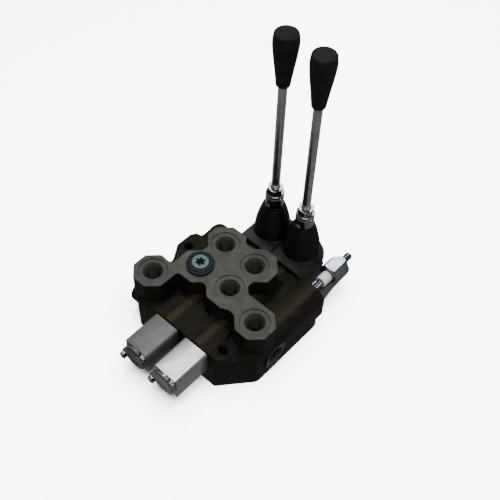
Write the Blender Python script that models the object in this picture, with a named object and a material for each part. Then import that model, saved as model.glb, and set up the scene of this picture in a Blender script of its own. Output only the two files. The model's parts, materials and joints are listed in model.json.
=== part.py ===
"""A two-spool hydraulic monoblock directional valve with two hand levers.

Lengths here are in millimetres and are turned into metres when each mesh is made.
The origin is on the underside, midway between the two spools. +X runs from spool 1
to spool 2, +Y runs along the spools towards the levers, and +Z is up.
"""

import math

import bmesh
import bpy
from mathutils import Matrix, Vector

MM = 0.001
GAP = 0.3  # clearance between pieces that touch on the real valve

# Body casting
TOP_Z = 85.0  # machined top face
SHELF_Z = 53.0  # cast shelf under the port bosses
FRONT_SHELF_Z = 60.0  # the same shelf over the spring caps' screws
BACK_RAIL_Z = 61.2
FRONT_Y = -91.0  # face that carries the spring caps
BACK_Y = 55.0  # face that carries the lever boxes
SIDE_X = 82.3
LEFT_X = -80.0

# Work ports and side ports, all G 1/2
PORTS = {
    "P": (-72.0, -64.3, 22.5),  # x, y, half the boss's width across flats
    "T": (60.0, -36.0, 22.8),
    "A1": (-38.3, -21.0, 25.3),
    "B1": (-38.3, 21.0, 25.3),
    "A2": (8.3, -21.0, 28.0),
    "B2": (8.3, 21.0, 26.5),
}
PORT_R = 9.5
PORT_CHAMFER = 1.2
SPOT_FACE_R = 17.0
SPOT_FACE_DEPTH = 1.0
PORT_FLOOR_Z = 33.0
MAIN_PORT_FLOOR_Z = 17.0
SIDE_PORT_Z = 27.0
SIDE_BOSS_R = 17.8
P_SIDE_X = -97.0
T_SIDE_X = 85.0
T_SIDE_Y = -24.0

# Mounting bolt holes
MOUNT_HOLES = ((48.0, -74.0), (-85.0, 5.0), (-74.0, 47.0))
MOUNT_HOLE_R = 5.5
LUG_R = 12.5
LUG_PAD_Z = 54.5

# Spools and their bores
SPOOL_X = {1: -23.0, 2: 23.0}
SPOOL_Z = 42.5
SPOOL_R = 9.0
BORE_R = SPOOL_R + GAP
RIDGE_R = 19.0
ANNULUS_R = 13.0
ANNULUS_WIDTH = 8.0
TANK_Y = (-44.0, 40.0)
WORK_Y = 21.0
PRESSURE_Y = 0.0
GALLERY_R = 6.0
SEAL_Y = (-72.0, 48.0)
SEAL_WIRE_R = 1.3
SEAL_RING_R = 10.75

# Spring caps and the centring springs inside them
CAP_WIDTH = 34.5
CAP_HEIGHT = 34.0
CAP_END_Y = -138.5
CAP_DISC_R = 15.8  # raised round end
CAP_DISC_Y = -143.8
CAP_BORE_R = 13.0
CAP_FLOOR = 4.5
CAP_SCREWS = ((12.1, 12.1, CAP_END_Y), (-18.6, -12.4, -141.0))  # x and z from the spool, head's seat in y
CAP_EAR_R = 6.0
CAP_SCREW_R = 2.5
SOCKET_HEAD_R = 4.4
SEAT_R = 12.3
SEAT_THICKNESS = 2.4
OUTER_SEAT_Y = -118.0
SPRING_COIL_R = 9.6
SPRING_WIRE_R = 1.3
STOP_BOLT_R = 3.0

# Lever boxes
BOX_TOP_Z = 68.0
BOX_BOTTOM_Z = 22.0
BOX_SHOULDER_Z = 60.0  # where the outer and far sides begin to slope in
BOX_SLOPE = 4.5
BOX_END_Y = 116.5
BOX_INNER = 22.6  # from the spool's axis to the side that faces the other box
BOX_OUTER = 26.0
BOX_CAVITY = 15.5
TURRET_R = 22.4
TURRET_TOP_Z = 70.0
TURRET_BORE_R = 18.0

# Levers
LEVER_Y = 88.5
PIVOT_Z = 62.0
PIVOT_R = 3.5
BARREL_R = 8.0
HUB_R = 11.0
HUB_TOP_Z = 134.5
SET_SCREW_Z = 118.5
BALL_R = 4.6
NUT_HEIGHT = 8.0
NUT_ACROSS = 17.0
ROD_R = 5.0
ROD_BOTTOM_Z = 116.0
KNOB_BOTTOM_Z = 292.5
KNOB_TOP_Z = 356.0
BELLOWS_TOP_Z = 115.0
BELLOWS_WALL = 1.6

# Relief valve and carry-over plug, both along +Y
END_BOSS_Y = 60.0  # machined face that both screw into
RELIEF_X = 65.5
RELIEF_Z = 51.2
RELIEF_SLEEVE_R = 6.6
RELIEF_STEM_R = 3.9
RELIEF_SCREW_Y = 36.0  # inner end of the adjusting screw
RELIEF_TIP_Y = 132.0
RELIEF_NUT_ACROSS = 24.0
CARRY_X = 65.0
CARRY_Z = 29.0
CARRY_THREAD_R = 9.0
CARRY_R = 12.6

ROUND = 20  # sides of a turned piece
INSIDE = 16  # sides of a spool, its bore and what else is hidden
COARSE = 12  # sides of a small turned piece

COLOURS = {  # colour, metallic, roughness
    "black_casting": ((0.060, 0.058, 0.053), 0.3, 0.55),
    "grey_casting": ((0.10, 0.10, 0.098), 0.3, 0.5),
    "aluminium": ((0.62, 0.62, 0.62), 1.0, 0.35),
    "zinc_steel": ((0.66, 0.69, 0.70), 1.0, 0.28),
    "bright_steel": ((0.60, 0.60, 0.60), 1.0, 0.2),
    "spring_steel": ((0.30, 0.30, 0.31), 1.0, 0.35),
    "black_rubber": ((0.015, 0.015, 0.015), 0.0, 0.6),
    "black_plastic": ((0.012, 0.012, 0.013), 0.0, 0.35),
    "white_nylon": ((0.85, 0.85, 0.82), 0.0, 0.45),
}

TURN_TO = {  # rotation that lays a mesh's own +Z along the named direction
    "+Z": Matrix.Identity(4),
    "+Y": Matrix.Rotation(math.radians(-90), 4, "X"),
    "-Y": Matrix.Rotation(math.radians(90), 4, "X"),
    "+X": Matrix.Rotation(math.radians(90), 4, "Y"),
    "-X": Matrix.Rotation(math.radians(-90), 4, "Y"),
}


# ---------------------------------------------------------------- shapes


def clear_scene():
    for obj in list(bpy.data.objects):
        bpy.data.objects.remove(obj, do_unlink=True)


def material(name):
    found = bpy.data.materials.get(name)
    if found:
        return found
    colour, metallic, roughness = COLOURS[name]
    made = bpy.data.materials.new(name)
    made.use_nodes = True
    shader = made.node_tree.nodes["Principled BSDF"]
    shader.inputs["Base Color"].default_value = (*colour, 1.0)
    shader.inputs["Metallic"].default_value = metallic
    shader.inputs["Roughness"].default_value = roughness
    return made


def turned(profile, sides=ROUND, closed=False):
    """A solid of revolution about Z. The profile is (radius, z) points; closed makes a ring of it."""
    shape = bmesh.new()
    points = [shape.verts.new((radius, 0.0, z)) for radius, z in profile]
    edges = [shape.edges.new(pair) for pair in zip(points, points[1:])]
    if closed:
        edges.append(shape.edges.new((points[-1], points[0])))
    bmesh.ops.spin(
        shape, geom=points + edges, cent=(0, 0, 0), axis=(0, 0, 1), angle=math.tau, steps=sides, use_merge=True
    )
    bmesh.ops.remove_doubles(shape, verts=shape.verts, dist=1e-4)
    bmesh.ops.recalc_face_normals(shape, faces=shape.faces)
    return shape


def rod(radius, length, sides=ROUND):
    return turned([(0, 0), (radius, 0), (radius, length), (0, length)], sides)


def ring(inner, outer, length, sides=ROUND):
    return turned([(inner, 0), (outer, 0), (outer, length), (inner, length)], sides, closed=True)


def prism(outline, low, high):
    """A closed outline of (x, y) points, drawn anticlockwise, raised along Z."""
    shape = bmesh.new()
    floor = shape.faces.new([shape.verts.new((x, y, low)) for x, y in outline])
    raised = bmesh.ops.extrude_face_region(shape, geom=[floor])["geom"]
    top = [item for item in raised if isinstance(item, bmesh.types.BMVert)]
    bmesh.ops.translate(shape, verts=top, vec=(0, 0, high - low))
    bmesh.ops.recalc_face_normals(shape, faces=shape.faces)
    return shape


def loft(layers):
    """A solid through (outline, z) layers, each outline with as many points as the first."""
    shape = bmesh.new()
    rows = [[shape.verts.new((x, y, z)) for x, y in outline] for outline, z in layers]
    for low, high in zip(rows, rows[1:]):
        for index in range(len(low)):
            shape.faces.new((low[index - 1], low[index], high[index], high[index - 1]))
    shape.faces.new(rows[0])
    shape.faces.new(rows[-1])
    bmesh.ops.recalc_face_normals(shape, faces=shape.faces)
    return shape


def box(low, high):
    (x0, y0, z0), (x1, y1, z1) = low, high
    return prism([(x0, y0), (x1, y0), (x1, y1), (x0, y1)], z0, z1)


def rounded(corners, steps=4):
    """Replaces each (x, y, radius) corner with an arc of that radius."""
    points = []
    for index, (x, y, radius) in enumerate(corners):
        here = Vector((x, y))
        before = (Vector(corners[index - 1][:2]) - here).normalized()
        after = (Vector(corners[(index + 1) % len(corners)][:2]) - here).normalized()
        half = before.angle(after) / 2
        if radius == 0 or half > math.radians(89):
            points.append((x, y))
            continue
        centre = here + (before + after).normalized() * radius / math.sin(half)
        start = here + before * radius / math.tan(half) - centre
        end = here + after * radius / math.tan(half) - centre
        sweep = start.angle_signed(end)
        for step in range(steps + 1):
            turn = Matrix.Rotation(-sweep * step / steps, 2)
            points.append(tuple(centre + turn @ start))
    return points


def polygon(sides, across_flats, turn=0.0):
    radius = across_flats / 2 / math.cos(math.pi / sides)
    angles = [turn + math.tau * side / sides for side in range(sides)]
    return [(radius * math.cos(angle), radius * math.sin(angle)) for angle in angles]


def moved(shape, at, direction="+Z"):
    """Lays a shape along a direction and moves its base point."""
    shape.transform(Matrix.Translation(at) @ TURN_TO[direction])
    return shape


# ---------------------------------------------------------------- objects


def place(name, shape, finish, at=(0, 0, 0), parent=None, direction="+Z"):
    """Makes the named object from a shape, with its own origin at the given point."""
    shape.transform(TURN_TO[direction])
    shape.transform(Matrix.Scale(MM, 4))
    mesh = bpy.data.meshes.new(name)
    shape.to_mesh(mesh)
    shape.free()
    mesh.materials.append(material(finish))
    mesh.shade_smooth()
    mesh.set_sharp_from_angle(angle=math.radians(35))
    obj = bpy.data.objects.new(name, mesh)
    bpy.context.scene.collection.objects.link(obj)
    obj.location = Vector(at) * MM
    if parent:
        obj.parent = parent
        obj.location -= parent.location
    return obj


def axis_empty(name, at):
    empty = bpy.data.objects.new(name, None)
    bpy.context.scene.collection.objects.link(empty)
    empty.location = Vector(at) * MM
    return empty


def combine(target, operation, shapes, finish):
    """Adds a Boolean that joins the shapes to the target or cuts them from it."""
    helpers = bpy.data.collections.new(f"{target.name}_{operation.lower()}")
    bpy.context.scene.collection.children.link(helpers)
    for number, shape in enumerate(shapes):
        helper = place(f"{target.name}_{operation.lower()}_{number}", shape, finish)
        bpy.context.scene.collection.objects.unlink(helper)
        helpers.objects.link(helper)
        helper.hide_render = True
        helper.display_type = "WIRE"
        if target.parent:
            helper.parent = target.parent
    modifier = target.modifiers.new(operation.title(), "BOOLEAN")
    modifier.operation = operation
    modifier.operand_type = "COLLECTION"
    modifier.collection = helpers
    modifier.solver = "EXACT"


# ---------------------------------------------------------------- body casting


def boss_corner(port, number):
    """Corner 0 to 7 of a port's octagonal boss, anticlockwise from just above its +X side."""
    x, y, half = PORTS[port]
    reach = half / math.cos(math.radians(22.5))
    angle = math.radians(22.5 + 45 * number)
    return x + reach * math.cos(angle), y + reach * math.sin(angle)


def deck_outline():
    """The six octagonal bosses and the webs between them, anticlockwise from the T boss."""

    def boss(port, first, last):
        return [(*boss_corner(port, number), 1.5) for number in range(first, last + 1)]

    corners = (
        boss("T", -1, 1)
        + [(30.0, PORTS["T"][1] + 22.8, 6), (22.5, -6.0, 5), (22.5, 2.5, 4), (34.8, 12.5, 3)]
        + boss("B2", 0, 1)
        + [(0.5, 47.5, 3), (-9.0, 38.0, 4), (-20.5, 38.0, 4)]
        + boss("B1", 1, 3)
        + [(-63.6, 17.0, 3), (-51.0, 4.6, 3), (-51.0, -4.6, 3), (-63.6, -16.0, 3), (-63.6, -42.5, 4)]
        + boss("P", 2, 7)
        + [(-49.5, -47.0, 3)]
        + boss("A1", 6, 6)
        + [(-20.0, -38.0, 4), (-13.0, -38.0, 3), (-2.5, -48.5, 3)]
        + boss("A2", 6, 6)
        + [(29.0, -44.5, 4)]
        + boss("T", 4, 6)
    )
    return rounded(corners, steps=2)


def base_outline():
    corners = [
        (50.0, FRONT_Y, 4),
        (SIDE_X, -53.0, 10),
        (SIDE_X, BACK_Y, 9),
        (LEFT_X, BACK_Y, 8),
        (LEFT_X, -38.0, 5),
        (-94.0, -50.0, 8),
        (-94.0, -72.0, 8),
        (-74.0, FRONT_Y, 6),
    ]
    return rounded(corners, steps=2)


def gallery_hump(inner, outer, crest, start, end):
    """A rounded cast ridge along Y, from its inner edge to the block's side."""
    side = math.copysign(1, outer)
    corners = [
        (abs(inner), 30.0, 0),
        (abs(outer), 30.0, 0),
        (abs(outer), crest, 16),
        (abs(inner), crest - 3, 5),
    ]
    outline = [(side * x, -z) for x, z in rounded(corners, steps=4)]
    if side < 0:
        outline.reverse()
    return moved(prism(outline[::-1], 0, end - start), (0, start, 0), "+Y")


def lug_pad():
    """The thick flange round the bolt hole on the -X side."""
    corners = [
        (-60.0, -26.0, 0),
        (-60.0, 60.0, 8),
        (-85.5, 60.0, 9),
        (-85.5, 28.0, 2),
        (-92.5, 27.0, 5),
        (-96.6, 20.0, 5),
        (-96.6, -3.0, 6),
        (-83.0, -25.0, 7),
    ]
    return prism(rounded(corners, steps=3), 0.8, LUG_PAD_Z)


def front_shelf():
    """The raised shelf between the P boss, the deck's arms and the spring caps."""
    corners = [
        (-54.0, FRONT_Y + 0.6, 1),
        (-45.2, -76.2, 3),
        (-44.7, -52.6, 3),
        (-32.8, -53.0, 3),
        (-13.7, -43.0, 3),
        (-0.6, -51.4, 4),
        (28.0, -48.6, 4),
        (38.0, -50.6, 4),
        (41.0, -60.0, 2),
        (41.0, FRONT_Y + 0.6, 0),
    ]
    return prism(rounded(corners, steps=2), 30.0, FRONT_SHELF_Z)


def shelf_wedge():
    """Runs the front shelf down to the lug at the T boss."""
    corners = [(39.0, -89.7, 0), (50.5, -89.7, 5), (61.0, -77.0, 7), (60.0, -61.0, 3), (39.0, -61.0, 0)]
    wedge = prism(rounded(corners, steps=3), 31.0, FRONT_SHELF_Z - 0.3)
    for vert in wedge.verts:
        if vert.co.z > 32:
            vert.co.z -= 0.28 * (vert.co.x - 39.0)
    return wedge


def end_boss():
    """The block's thicker corner beside lever box 2, for the relief valve and the carry-over plug."""
    outer = SIDE_X + 2.1
    corners = rounded([(50.0, 11.0, 5), (outer, 11.0, 11), (outer, 61.9, 16), (50.0, 59.7, 4)], steps=3)
    outline = [(x, -z) for x, z in reversed(corners)]
    return moved(prism(outline, 0, 24), (0, END_BOSS_Y - 24, 0), "+Y")


def casting_additions():
    shapes = [prism(deck_outline(), 45.0, TOP_Z)]
    for x in SPOOL_X.values():
        shapes.append(moved(rod(RIDGE_R, BACK_Y - FRONT_Y - 2, 28), (x, FRONT_Y + 1.2, SPOOL_Z), "+Y"))
    shapes.append(front_shelf())
    shapes.append(box((-46.0, 40.0, 31.5), (47.0, BACK_Y - 0.3, BACK_RAIL_Z)))
    shapes.append(gallery_hump(37.0, SIDE_X + 2.4, 62.2, -40.0, BACK_Y - 0.6))
    shapes.append(gallery_hump(-62.0, -90.0, 58.0, -34.0, BACK_Y - 6))
    shapes += [lug_pad(), shelf_wedge()]
    for x, y in MOUNT_HOLES:
        shapes.append(moved(rod(LUG_R, SHELF_Z + 1), (x, y, 0.5)))
    shapes.append(moved(rod(SIDE_BOSS_R, 20), (P_SIDE_X, PORTS["P"][1], SIDE_PORT_Z), "+X"))
    shapes.append(moved(rod(SIDE_BOSS_R, 20), (T_SIDE_X, T_SIDE_Y, SIDE_PORT_Z), "-X"))
    shapes.append(end_boss())
    return shapes


def port_cut(depth):
    """A spot-faced port with a chamfered mouth, opening upwards from its own z = 0."""
    return turned(
        [
            (0, -depth),
            (PORT_R, -depth),
            (PORT_R, -SPOT_FACE_DEPTH - PORT_CHAMFER),
            (PORT_R + PORT_CHAMFER, -SPOT_FACE_DEPTH),
            (SPOT_FACE_R, -SPOT_FACE_DEPTH),
            (SPOT_FACE_R, 2),
            (0, 2),
        ]
    )


def spool_bore(x):
    """A through bore with its widened galleries and its two seal grooves."""
    groove = SEAL_WIRE_R + GAP
    wide = [(y, ANNULUS_WIDTH / 2, ANNULUS_R) for y in (*TANK_Y, -WORK_Y, PRESSURE_Y, WORK_Y)]
    wide += [(y, groove, SEAL_RING_R + groove) for y in SEAL_Y]
    profile = [(0, FRONT_Y - 2), (BORE_R, FRONT_Y - 2)]
    for y, half, radius in sorted(wide):
        profile += [(BORE_R, y - half), (radius, y - half), (radius, y + half), (BORE_R, y + half)]
    profile += [(BORE_R, BACK_Y + 2), (0, BACK_Y + 2)]
    return moved(turned(profile, INSIDE), (x, 0, SPOOL_Z), "+Y")


def galleries():
    """The cored passages that join the ports, the spool bores and the relief valve."""
    left, right = PORTS["P"][0], RELIEF_X
    shapes = [moved(rod(GALLERY_R, right - 5 - left, COARSE), (left, PRESSURE_Y, SPOOL_Z), "+X")]
    feed = rod(GALLERY_R + 1, PRESSURE_Y - PORTS["P"][1] + GALLERY_R + 3, COARSE)
    shapes.append(moved(feed, (left, PORTS["P"][1], SPOOL_Z), "+Y"))
    for y in TANK_Y:
        shapes.append(moved(rod(GALLERY_R, right + 34, COARSE), (-34, y, SPOOL_Z), "+X"))
    shapes.append(moved(rod(GALLERY_R - 1, 24, COARSE), (right, TANK_Y[1], CARRY_Z)))
    return shapes


def casting_cuts():
    shapes = []
    for port, (x, y, _) in PORTS.items():
        floor = MAIN_PORT_FLOOR_Z if port in "PT" else PORT_FLOOR_Z
        shapes.append(moved(port_cut(TOP_Z - floor), (x, y, TOP_Z)))
    shapes.append(moved(port_cut(-P_SIDE_X - 70), (P_SIDE_X, PORTS["P"][1], SIDE_PORT_Z), "-X"))
    shapes.append(moved(port_cut(T_SIDE_X - 60), (T_SIDE_X, T_SIDE_Y, SIDE_PORT_Z), "+X"))
    shapes += [spool_bore(x) for x in SPOOL_X.values()]
    shapes += galleries()
    for x, y in MOUNT_HOLES:
        shapes.append(moved(rod(MOUNT_HOLE_R, 80, COARSE), (x, y, -2)))
    relief_bore = rod(RELIEF_SLEEVE_R + GAP, END_BOSS_Y + 13, INSIDE)
    shapes.append(moved(relief_bore, (RELIEF_X, END_BOSS_Y + 1, RELIEF_Z), "-Y"))
    tank_line = rod(CARRY_THREAD_R + GAP, END_BOSS_Y + 37, ROUND)
    shapes.append(moved(tank_line, (CARRY_X, END_BOSS_Y + 1, CARRY_Z), "-Y"))
    for x, z, _ in cap_screw_places(1) + cap_screw_places(2):
        shapes.append(moved(rod(CAP_SCREW_R + GAP, 14, COARSE), (x, FRONT_Y - 1, z), "+Y"))
    for x, z, _ in box_screw_places():
        shapes.append(moved(rod(3.0 + GAP, 9, COARSE), (x, BACK_Y + 1, z), "-Y"))
    return shapes


def body_casting():
    body = place("body_casting", prism(base_outline(), 0, SHELF_Z), "black_casting")
    combine(body, "UNION", casting_additions(), "black_casting")
    combine(body, "DIFFERENCE", casting_cuts(), "black_casting")


# ---------------------------------------------------------------- spools and spring caps


def spool(number, axis):
    """The spool with its lands and grooves, its front nose and the slot for the lever's ball."""
    x = SPOOL_X[number]
    waist = 5.6
    grooves = ((-33.0, 5.0), (-10.5, 4.0), (10.5, 4.0), (30.5, 5.0))
    profile = [(0, -98), (4.5, -98), (4.5, -84), (SPOOL_R, -84)]
    for y, half in grooves:
        profile += [(SPOOL_R, y - half), (waist, y - half + 1), (waist, y + half - 1), (SPOOL_R, y + half)]
    profile += [(SPOOL_R, 99), (SPOOL_R - 1, 100), (0, 100)]
    made = place(f"spool_{number}", turned(profile, INSIDE), "bright_steel", (x, 0, SPOOL_Z), axis, "+Y")
    slot = BALL_R + GAP
    low = (-SPOOL_R - 2, LEVER_Y - slot, -6.5)
    high = (SPOOL_R + 2, LEVER_Y + slot, SPOOL_R + 2)
    flat = box((-SPOOL_R - 2, LEVER_Y - 13, 5.2), (SPOOL_R + 2, LEVER_Y + 13, SPOOL_R + 2))
    bolt_hole = moved(rod(STOP_BOLT_R + GAP, 16, COARSE), (0, -99, 0), "+Y")
    combine(made, "DIFFERENCE", [box(low, high), flat, bolt_hole], "bright_steel")


def spool_seals(number):
    x = SPOOL_X[number]
    for name, y in zip(("front", "back"), SEAL_Y):
        profile = [
            (SEAL_RING_R + SEAL_WIRE_R * math.cos(angle), SEAL_WIRE_R * math.sin(angle))
            for angle in (math.tau * side / 8 for side in range(6))
        ]
        seal = turned(profile, INSIDE, closed=True)
        place(f"spool_{number}_{name}_seal", seal, "black_rubber", (x, y, SPOOL_Z), None, "+Y")


def cap_screw_places(number):
    """(x, z, head's seat in y) of the cap's two screws, one high and one out on the cap's ear."""
    return [(SPOOL_X[number] + along, SPOOL_Z + up, seat) for along, up, seat in CAP_SCREWS]


def spring_cap(number):
    x = SPOOL_X[number]
    half_x, half_z = CAP_WIDTH / 2, CAP_HEIGHT / 2
    length = FRONT_Y - GAP - CAP_END_Y
    outline = rounded([(half_x, -half_z, 3), (half_x, half_z, 3), (-half_x, half_z, 3), (-half_x, -half_z, 3)])
    start = FRONT_Y - GAP
    cap = place(f"spring_cap_{number}", prism(outline, 0, length), "aluminium", (x, start, SPOOL_Z), None, "-Y")
    (high_x, high_z, _), (ear_x, ear_z, ear_y) = cap_screw_places(number)
    tall = CAP_END_Y - CAP_DISC_Y
    disc = turned([(0, -2), (CAP_DISC_R, -2), (CAP_DISC_R, tall - 1.5), (CAP_DISC_R - 1.5, tall), (0, tall)], 28)
    ear = rod(CAP_EAR_R, start - ear_y, INSIDE)
    added = [moved(disc, (x, CAP_END_Y, SPOOL_Z), "-Y"), moved(ear, (ear_x, start, ear_z), "-Y")]
    combine(cap, "UNION", added, "aluminium")
    cuts = [moved(rod(CAP_BORE_R, length - CAP_FLOOR + 1, INSIDE), (x, start + 1, SPOOL_Z), "-Y")]
    cuts.append(moved(rod(SOCKET_HEAD_R + 1, 8, INSIDE), (high_x, CAP_END_Y, high_z), "-Y"))
    for hole_x, hole_z in ((high_x, high_z), (ear_x, ear_z)):
        cuts.append(moved(rod(CAP_SCREW_R + GAP, 60, COARSE), (hole_x, start + 1, hole_z), "-Y"))
    combine(cap, "DIFFERENCE", cuts, "aluminium")


def socket_screw(name, radius, head_radius, head_height, length, at, direction, finish="zinc_steel"):
    """A socket head cap screw. Its own origin is under the head, and it points along the direction."""
    bolt = turned(
        [
            (0, -head_height + 3),
            (2.2, -head_height + 3),
            (2.2, -head_height),
            (head_radius - 0.5, -head_height),
            (head_radius, -head_height + 0.5),
            (head_radius, 0),
            (radius, 0),
            (radius, length),
            (0, length),
        ],
        COARSE,
    )
    place(name, bolt, finish, at, None, direction)


def cap_screws():
    places = cap_screw_places(1) + cap_screw_places(2)
    for number, (x, z, seat) in enumerate(places, start=1):
        length = FRONT_Y + 10 - seat
        at = (x, seat - GAP, z)
        socket_screw(f"spring_cap_screw_{number}", CAP_SCREW_R, SOCKET_HEAD_R, 5.0, length, at, "+Y")


def spring_pack(number, axis):
    """The centring spring between its two seats, and the stop bolt that carries the outer one."""
    x = SPOOL_X[number]
    inner_y = FRONT_Y - GAP * 2
    inner = ring(5.0, SEAT_R, SEAT_THICKNESS, INSIDE)
    place(f"spring_seat_inner_{number}", inner, "zinc_steel", (x, inner_y, SPOOL_Z), None, "-Y")
    outer = ring(STOP_BOLT_R + GAP, SEAT_R, SEAT_THICKNESS, INSIDE)
    place(f"spring_seat_outer_{number}", outer, "zinc_steel", (x, OUTER_SEAT_Y, SPOOL_Z), axis, "-Y")
    bolt = turned(
        [(0, 0), (5.0, 0), (5.0, 5.0), (STOP_BOLT_R, 5.0), (STOP_BOLT_R, 38.0), (0, 38.0)],
        COARSE,
    )
    bolt_y = OUTER_SEAT_Y - SEAT_THICKNESS - GAP - 5.0
    place(f"spool_stop_bolt_{number}", bolt, "zinc_steel", (x, bolt_y, SPOOL_Z), axis, "+Y")
    high = inner_y - SEAT_THICKNESS - GAP
    coil = helix(SPRING_COIL_R, SPRING_WIRE_R, high - OUTER_SEAT_Y - GAP, 5)
    place(f"centring_spring_{number}", coil, "spring_steel", (x, OUTER_SEAT_Y + GAP, SPOOL_Z), None, "+Y")


def helix(coil_r, wire_r, length, turns, steps=10, sides=4):
    """A coil spring along +Z whose ends stop flush inside the given length."""
    shape = bmesh.new()
    rise = length - 2 * wire_r
    sections = []
    for step in range(turns * steps + 1):
        angle = math.tau * step / steps
        height = wire_r + rise * step / (turns * steps)
        out = Vector((math.cos(angle), math.sin(angle), 0))
        centre = out * coil_r + Vector((0, 0, height))
        around = [math.tau * side / sides for side in range(sides)]
        points = [centre + wire_r * (out * math.cos(a) + Vector((0, 0, math.sin(a)))) for a in around]
        sections.append([shape.verts.new(point) for point in points])
    for near, far in zip(sections, sections[1:]):
        for side in range(sides):
            other = (side + 1) % sides
            shape.faces.new((near[side], near[other], far[other], far[side]))
    shape.faces.new(sections[0])
    shape.faces.new(sections[-1])
    bmesh.ops.recalc_face_normals(shape, faces=shape.faces)
    return shape


# ---------------------------------------------------------------- lever boxes and levers


def outward(number):
    """-1 for the box at -X and +1 for the box at +X: the way to the box's outer side."""
    return math.copysign(1, SPOOL_X[number])


def box_screw_places():
    """(x, z, head's seat in y) of each lever box screw: one high and outside, one low and inside."""
    places = []
    for number, x in SPOOL_X.items():
        side = outward(number)
        places.append((x + side * 20.7, 47.0, 97.0))
        places.append((x - side * 17.5, 27.5, 107.0))
    return places


def lever_box(number):
    x = SPOOL_X[number]
    side = outward(number)
    start = BACK_Y + GAP
    layers = []
    for inset, z in ((0, BOX_BOTTOM_Z), (0, BOX_SHOULDER_Z), (BOX_SLOPE, BOX_TOP_Z)):
        outer, end = side * (BOX_OUTER - inset), BOX_END_Y - inset / 3
        corners = [(-side * BOX_INNER, start, 0), (outer, start, 3), (outer, end, 22), (-side * BOX_INNER, end, 4)]
        if side < 0:
            corners.reverse()
        layers.append(([(x + along, y) for along, y in rounded(corners, steps=5)], z))
    made = place(f"lever_box_{number}", loft(layers), "grey_casting")
    turret = moved(rod(TURRET_R, TURRET_TOP_Z - BOX_TOP_Z + 2, 32), (x, LEVER_Y, BOX_TOP_Z - 2))
    combine(made, "UNION", [turret], "grey_casting")
    low = (x - BOX_CAVITY, start - 2, 30.0)
    high = (x + BOX_CAVITY, BOX_END_Y - 4.5, BOX_TOP_Z - 5)
    cuts = [box(low, high)]
    cuts.append(moved(rod(TURRET_BORE_R, 20, 32), (x, LEVER_Y, BOX_TOP_Z - 8)))
    cuts.append(moved(rod(PIVOT_R + GAP, 60, COARSE), (x - 30, LEVER_Y, PIVOT_Z), "+X"))
    for screw_x, z, seat_y in box_screw_places():
        if abs(screw_x - x) < BOX_OUTER:
            cuts.append(moved(rod(3.0 + GAP, 80, COARSE), (screw_x, start - 2, z), "+Y"))
            cuts.append(moved(rod(5.7, 30, COARSE), (screw_x, seat_y, z), "+Y"))
    combine(made, "DIFFERENCE", cuts, "grey_casting")


def lever_box_screws():
    for number, (x, z, seat_y) in enumerate(box_screw_places(), start=1):
        length = seat_y - BACK_Y + 7
        at = (x, seat_y + GAP, z)
        socket_screw(f"lever_box_screw_{number}", 3.0, 5.0, 6.0, length, at, "-Y")


def pivot_pin(number):
    x = SPOOL_X[number]
    side = outward(number)
    low, high = sorted((x - side * (BOX_INNER - 0.6), x + side * (BOX_OUTER - BOX_SLOPE)))
    at = (low, LEVER_Y, PIVOT_Z)
    place(f"pivot_pin_{number}", rod(PIVOT_R, high - low, COARSE), "bright_steel", at, None, "+X")


def lever_hub(number, axis):
    """The rocker: a barrel on the pin, a column up to the rod and a finger down to the spool."""
    x = SPOOL_X[number]
    at = (x, LEVER_Y, PIVOT_Z)
    top = HUB_TOP_Z - PIVOT_Z
    column = turned([(0, 0), (HUB_R, 0), (HUB_R, top - 1.5), (HUB_R - 1.5, top), (0, top)])
    hub = place(f"lever_hub_{number}", column, "zinc_steel", at, axis)
    drop = SPOOL_Z + 1 - PIVOT_Z
    finger = turned([(0, -4), (3.8, -4), (2.8, drop + 5), (2.8, drop + 3), (0, drop + 3)], COARSE)
    ball = turned(
        [(BALL_R * math.sin(math.pi * step / 6), drop + BALL_R * math.cos(math.pi * step / 6)) for step in range(7)],
        COARSE,
    )
    barrel = moved(rod(BARREL_R, 2 * (BOX_CAVITY - 0.5)), (0.5 - BOX_CAVITY, 0, 0), "+X")
    combine(hub, "UNION", [barrel, finger, ball], "zinc_steel")
    pin_hole = moved(rod(PIVOT_R + GAP, 60, COARSE), (-30, 0, 0), "+X")
    rod_hole = moved(rod(ROD_R + GAP, 40), (0, 0, ROD_BOTTOM_Z - PIVOT_Z - 1))
    screw_hole = moved(rod(2.5 + GAP, 20, COARSE), (0, -ROD_R, SET_SCREW_Z - PIVOT_Z), "-Y")
    combine(hub, "DIFFERENCE", [pin_hole, rod_hole, screw_hole], "zinc_steel")


def hub_set_screw(number, axis):
    """The small domed screw that locks the rod in the hub."""
    screw = turned(
        [(0, 0), (2.5, 0), (2.5, 5.5), (3.4, 5.5), (3.4, 6.4), (2.4, 7.9), (0, 8.4)],
        COARSE,
    )
    at = (SPOOL_X[number], LEVER_Y - ROD_R - 2 * GAP, SET_SCREW_Z)
    place(f"hub_set_screw_{number}", screw, "zinc_steel", at, axis, "-Y")


def lever_rod(number, axis):
    at = (SPOOL_X[number], LEVER_Y, ROD_BOTTOM_Z)
    length = KNOB_BOTTOM_Z + 40 - ROD_BOTTOM_Z
    profile = [(0, 0), (ROD_R - 1, 0), (ROD_R, 1), (ROD_R, length), (0, length)]
    place(f"lever_rod_{number}", turned(profile), "bright_steel", at, axis)


def lever_lock_nut(number, axis):
    at = (SPOOL_X[number], LEVER_Y, HUB_TOP_Z + GAP)
    nut = place(f"lever_lock_nut_{number}", prism(polygon(6, NUT_ACROSS), 0, NUT_HEIGHT), "zinc_steel", at, axis)
    hole = moved(rod(ROD_R + GAP, NUT_HEIGHT + 4), (0, 0, HUB_TOP_Z - PIVOT_Z - 2))
    combine(nut, "DIFFERENCE", [hole], "zinc_steel")


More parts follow.
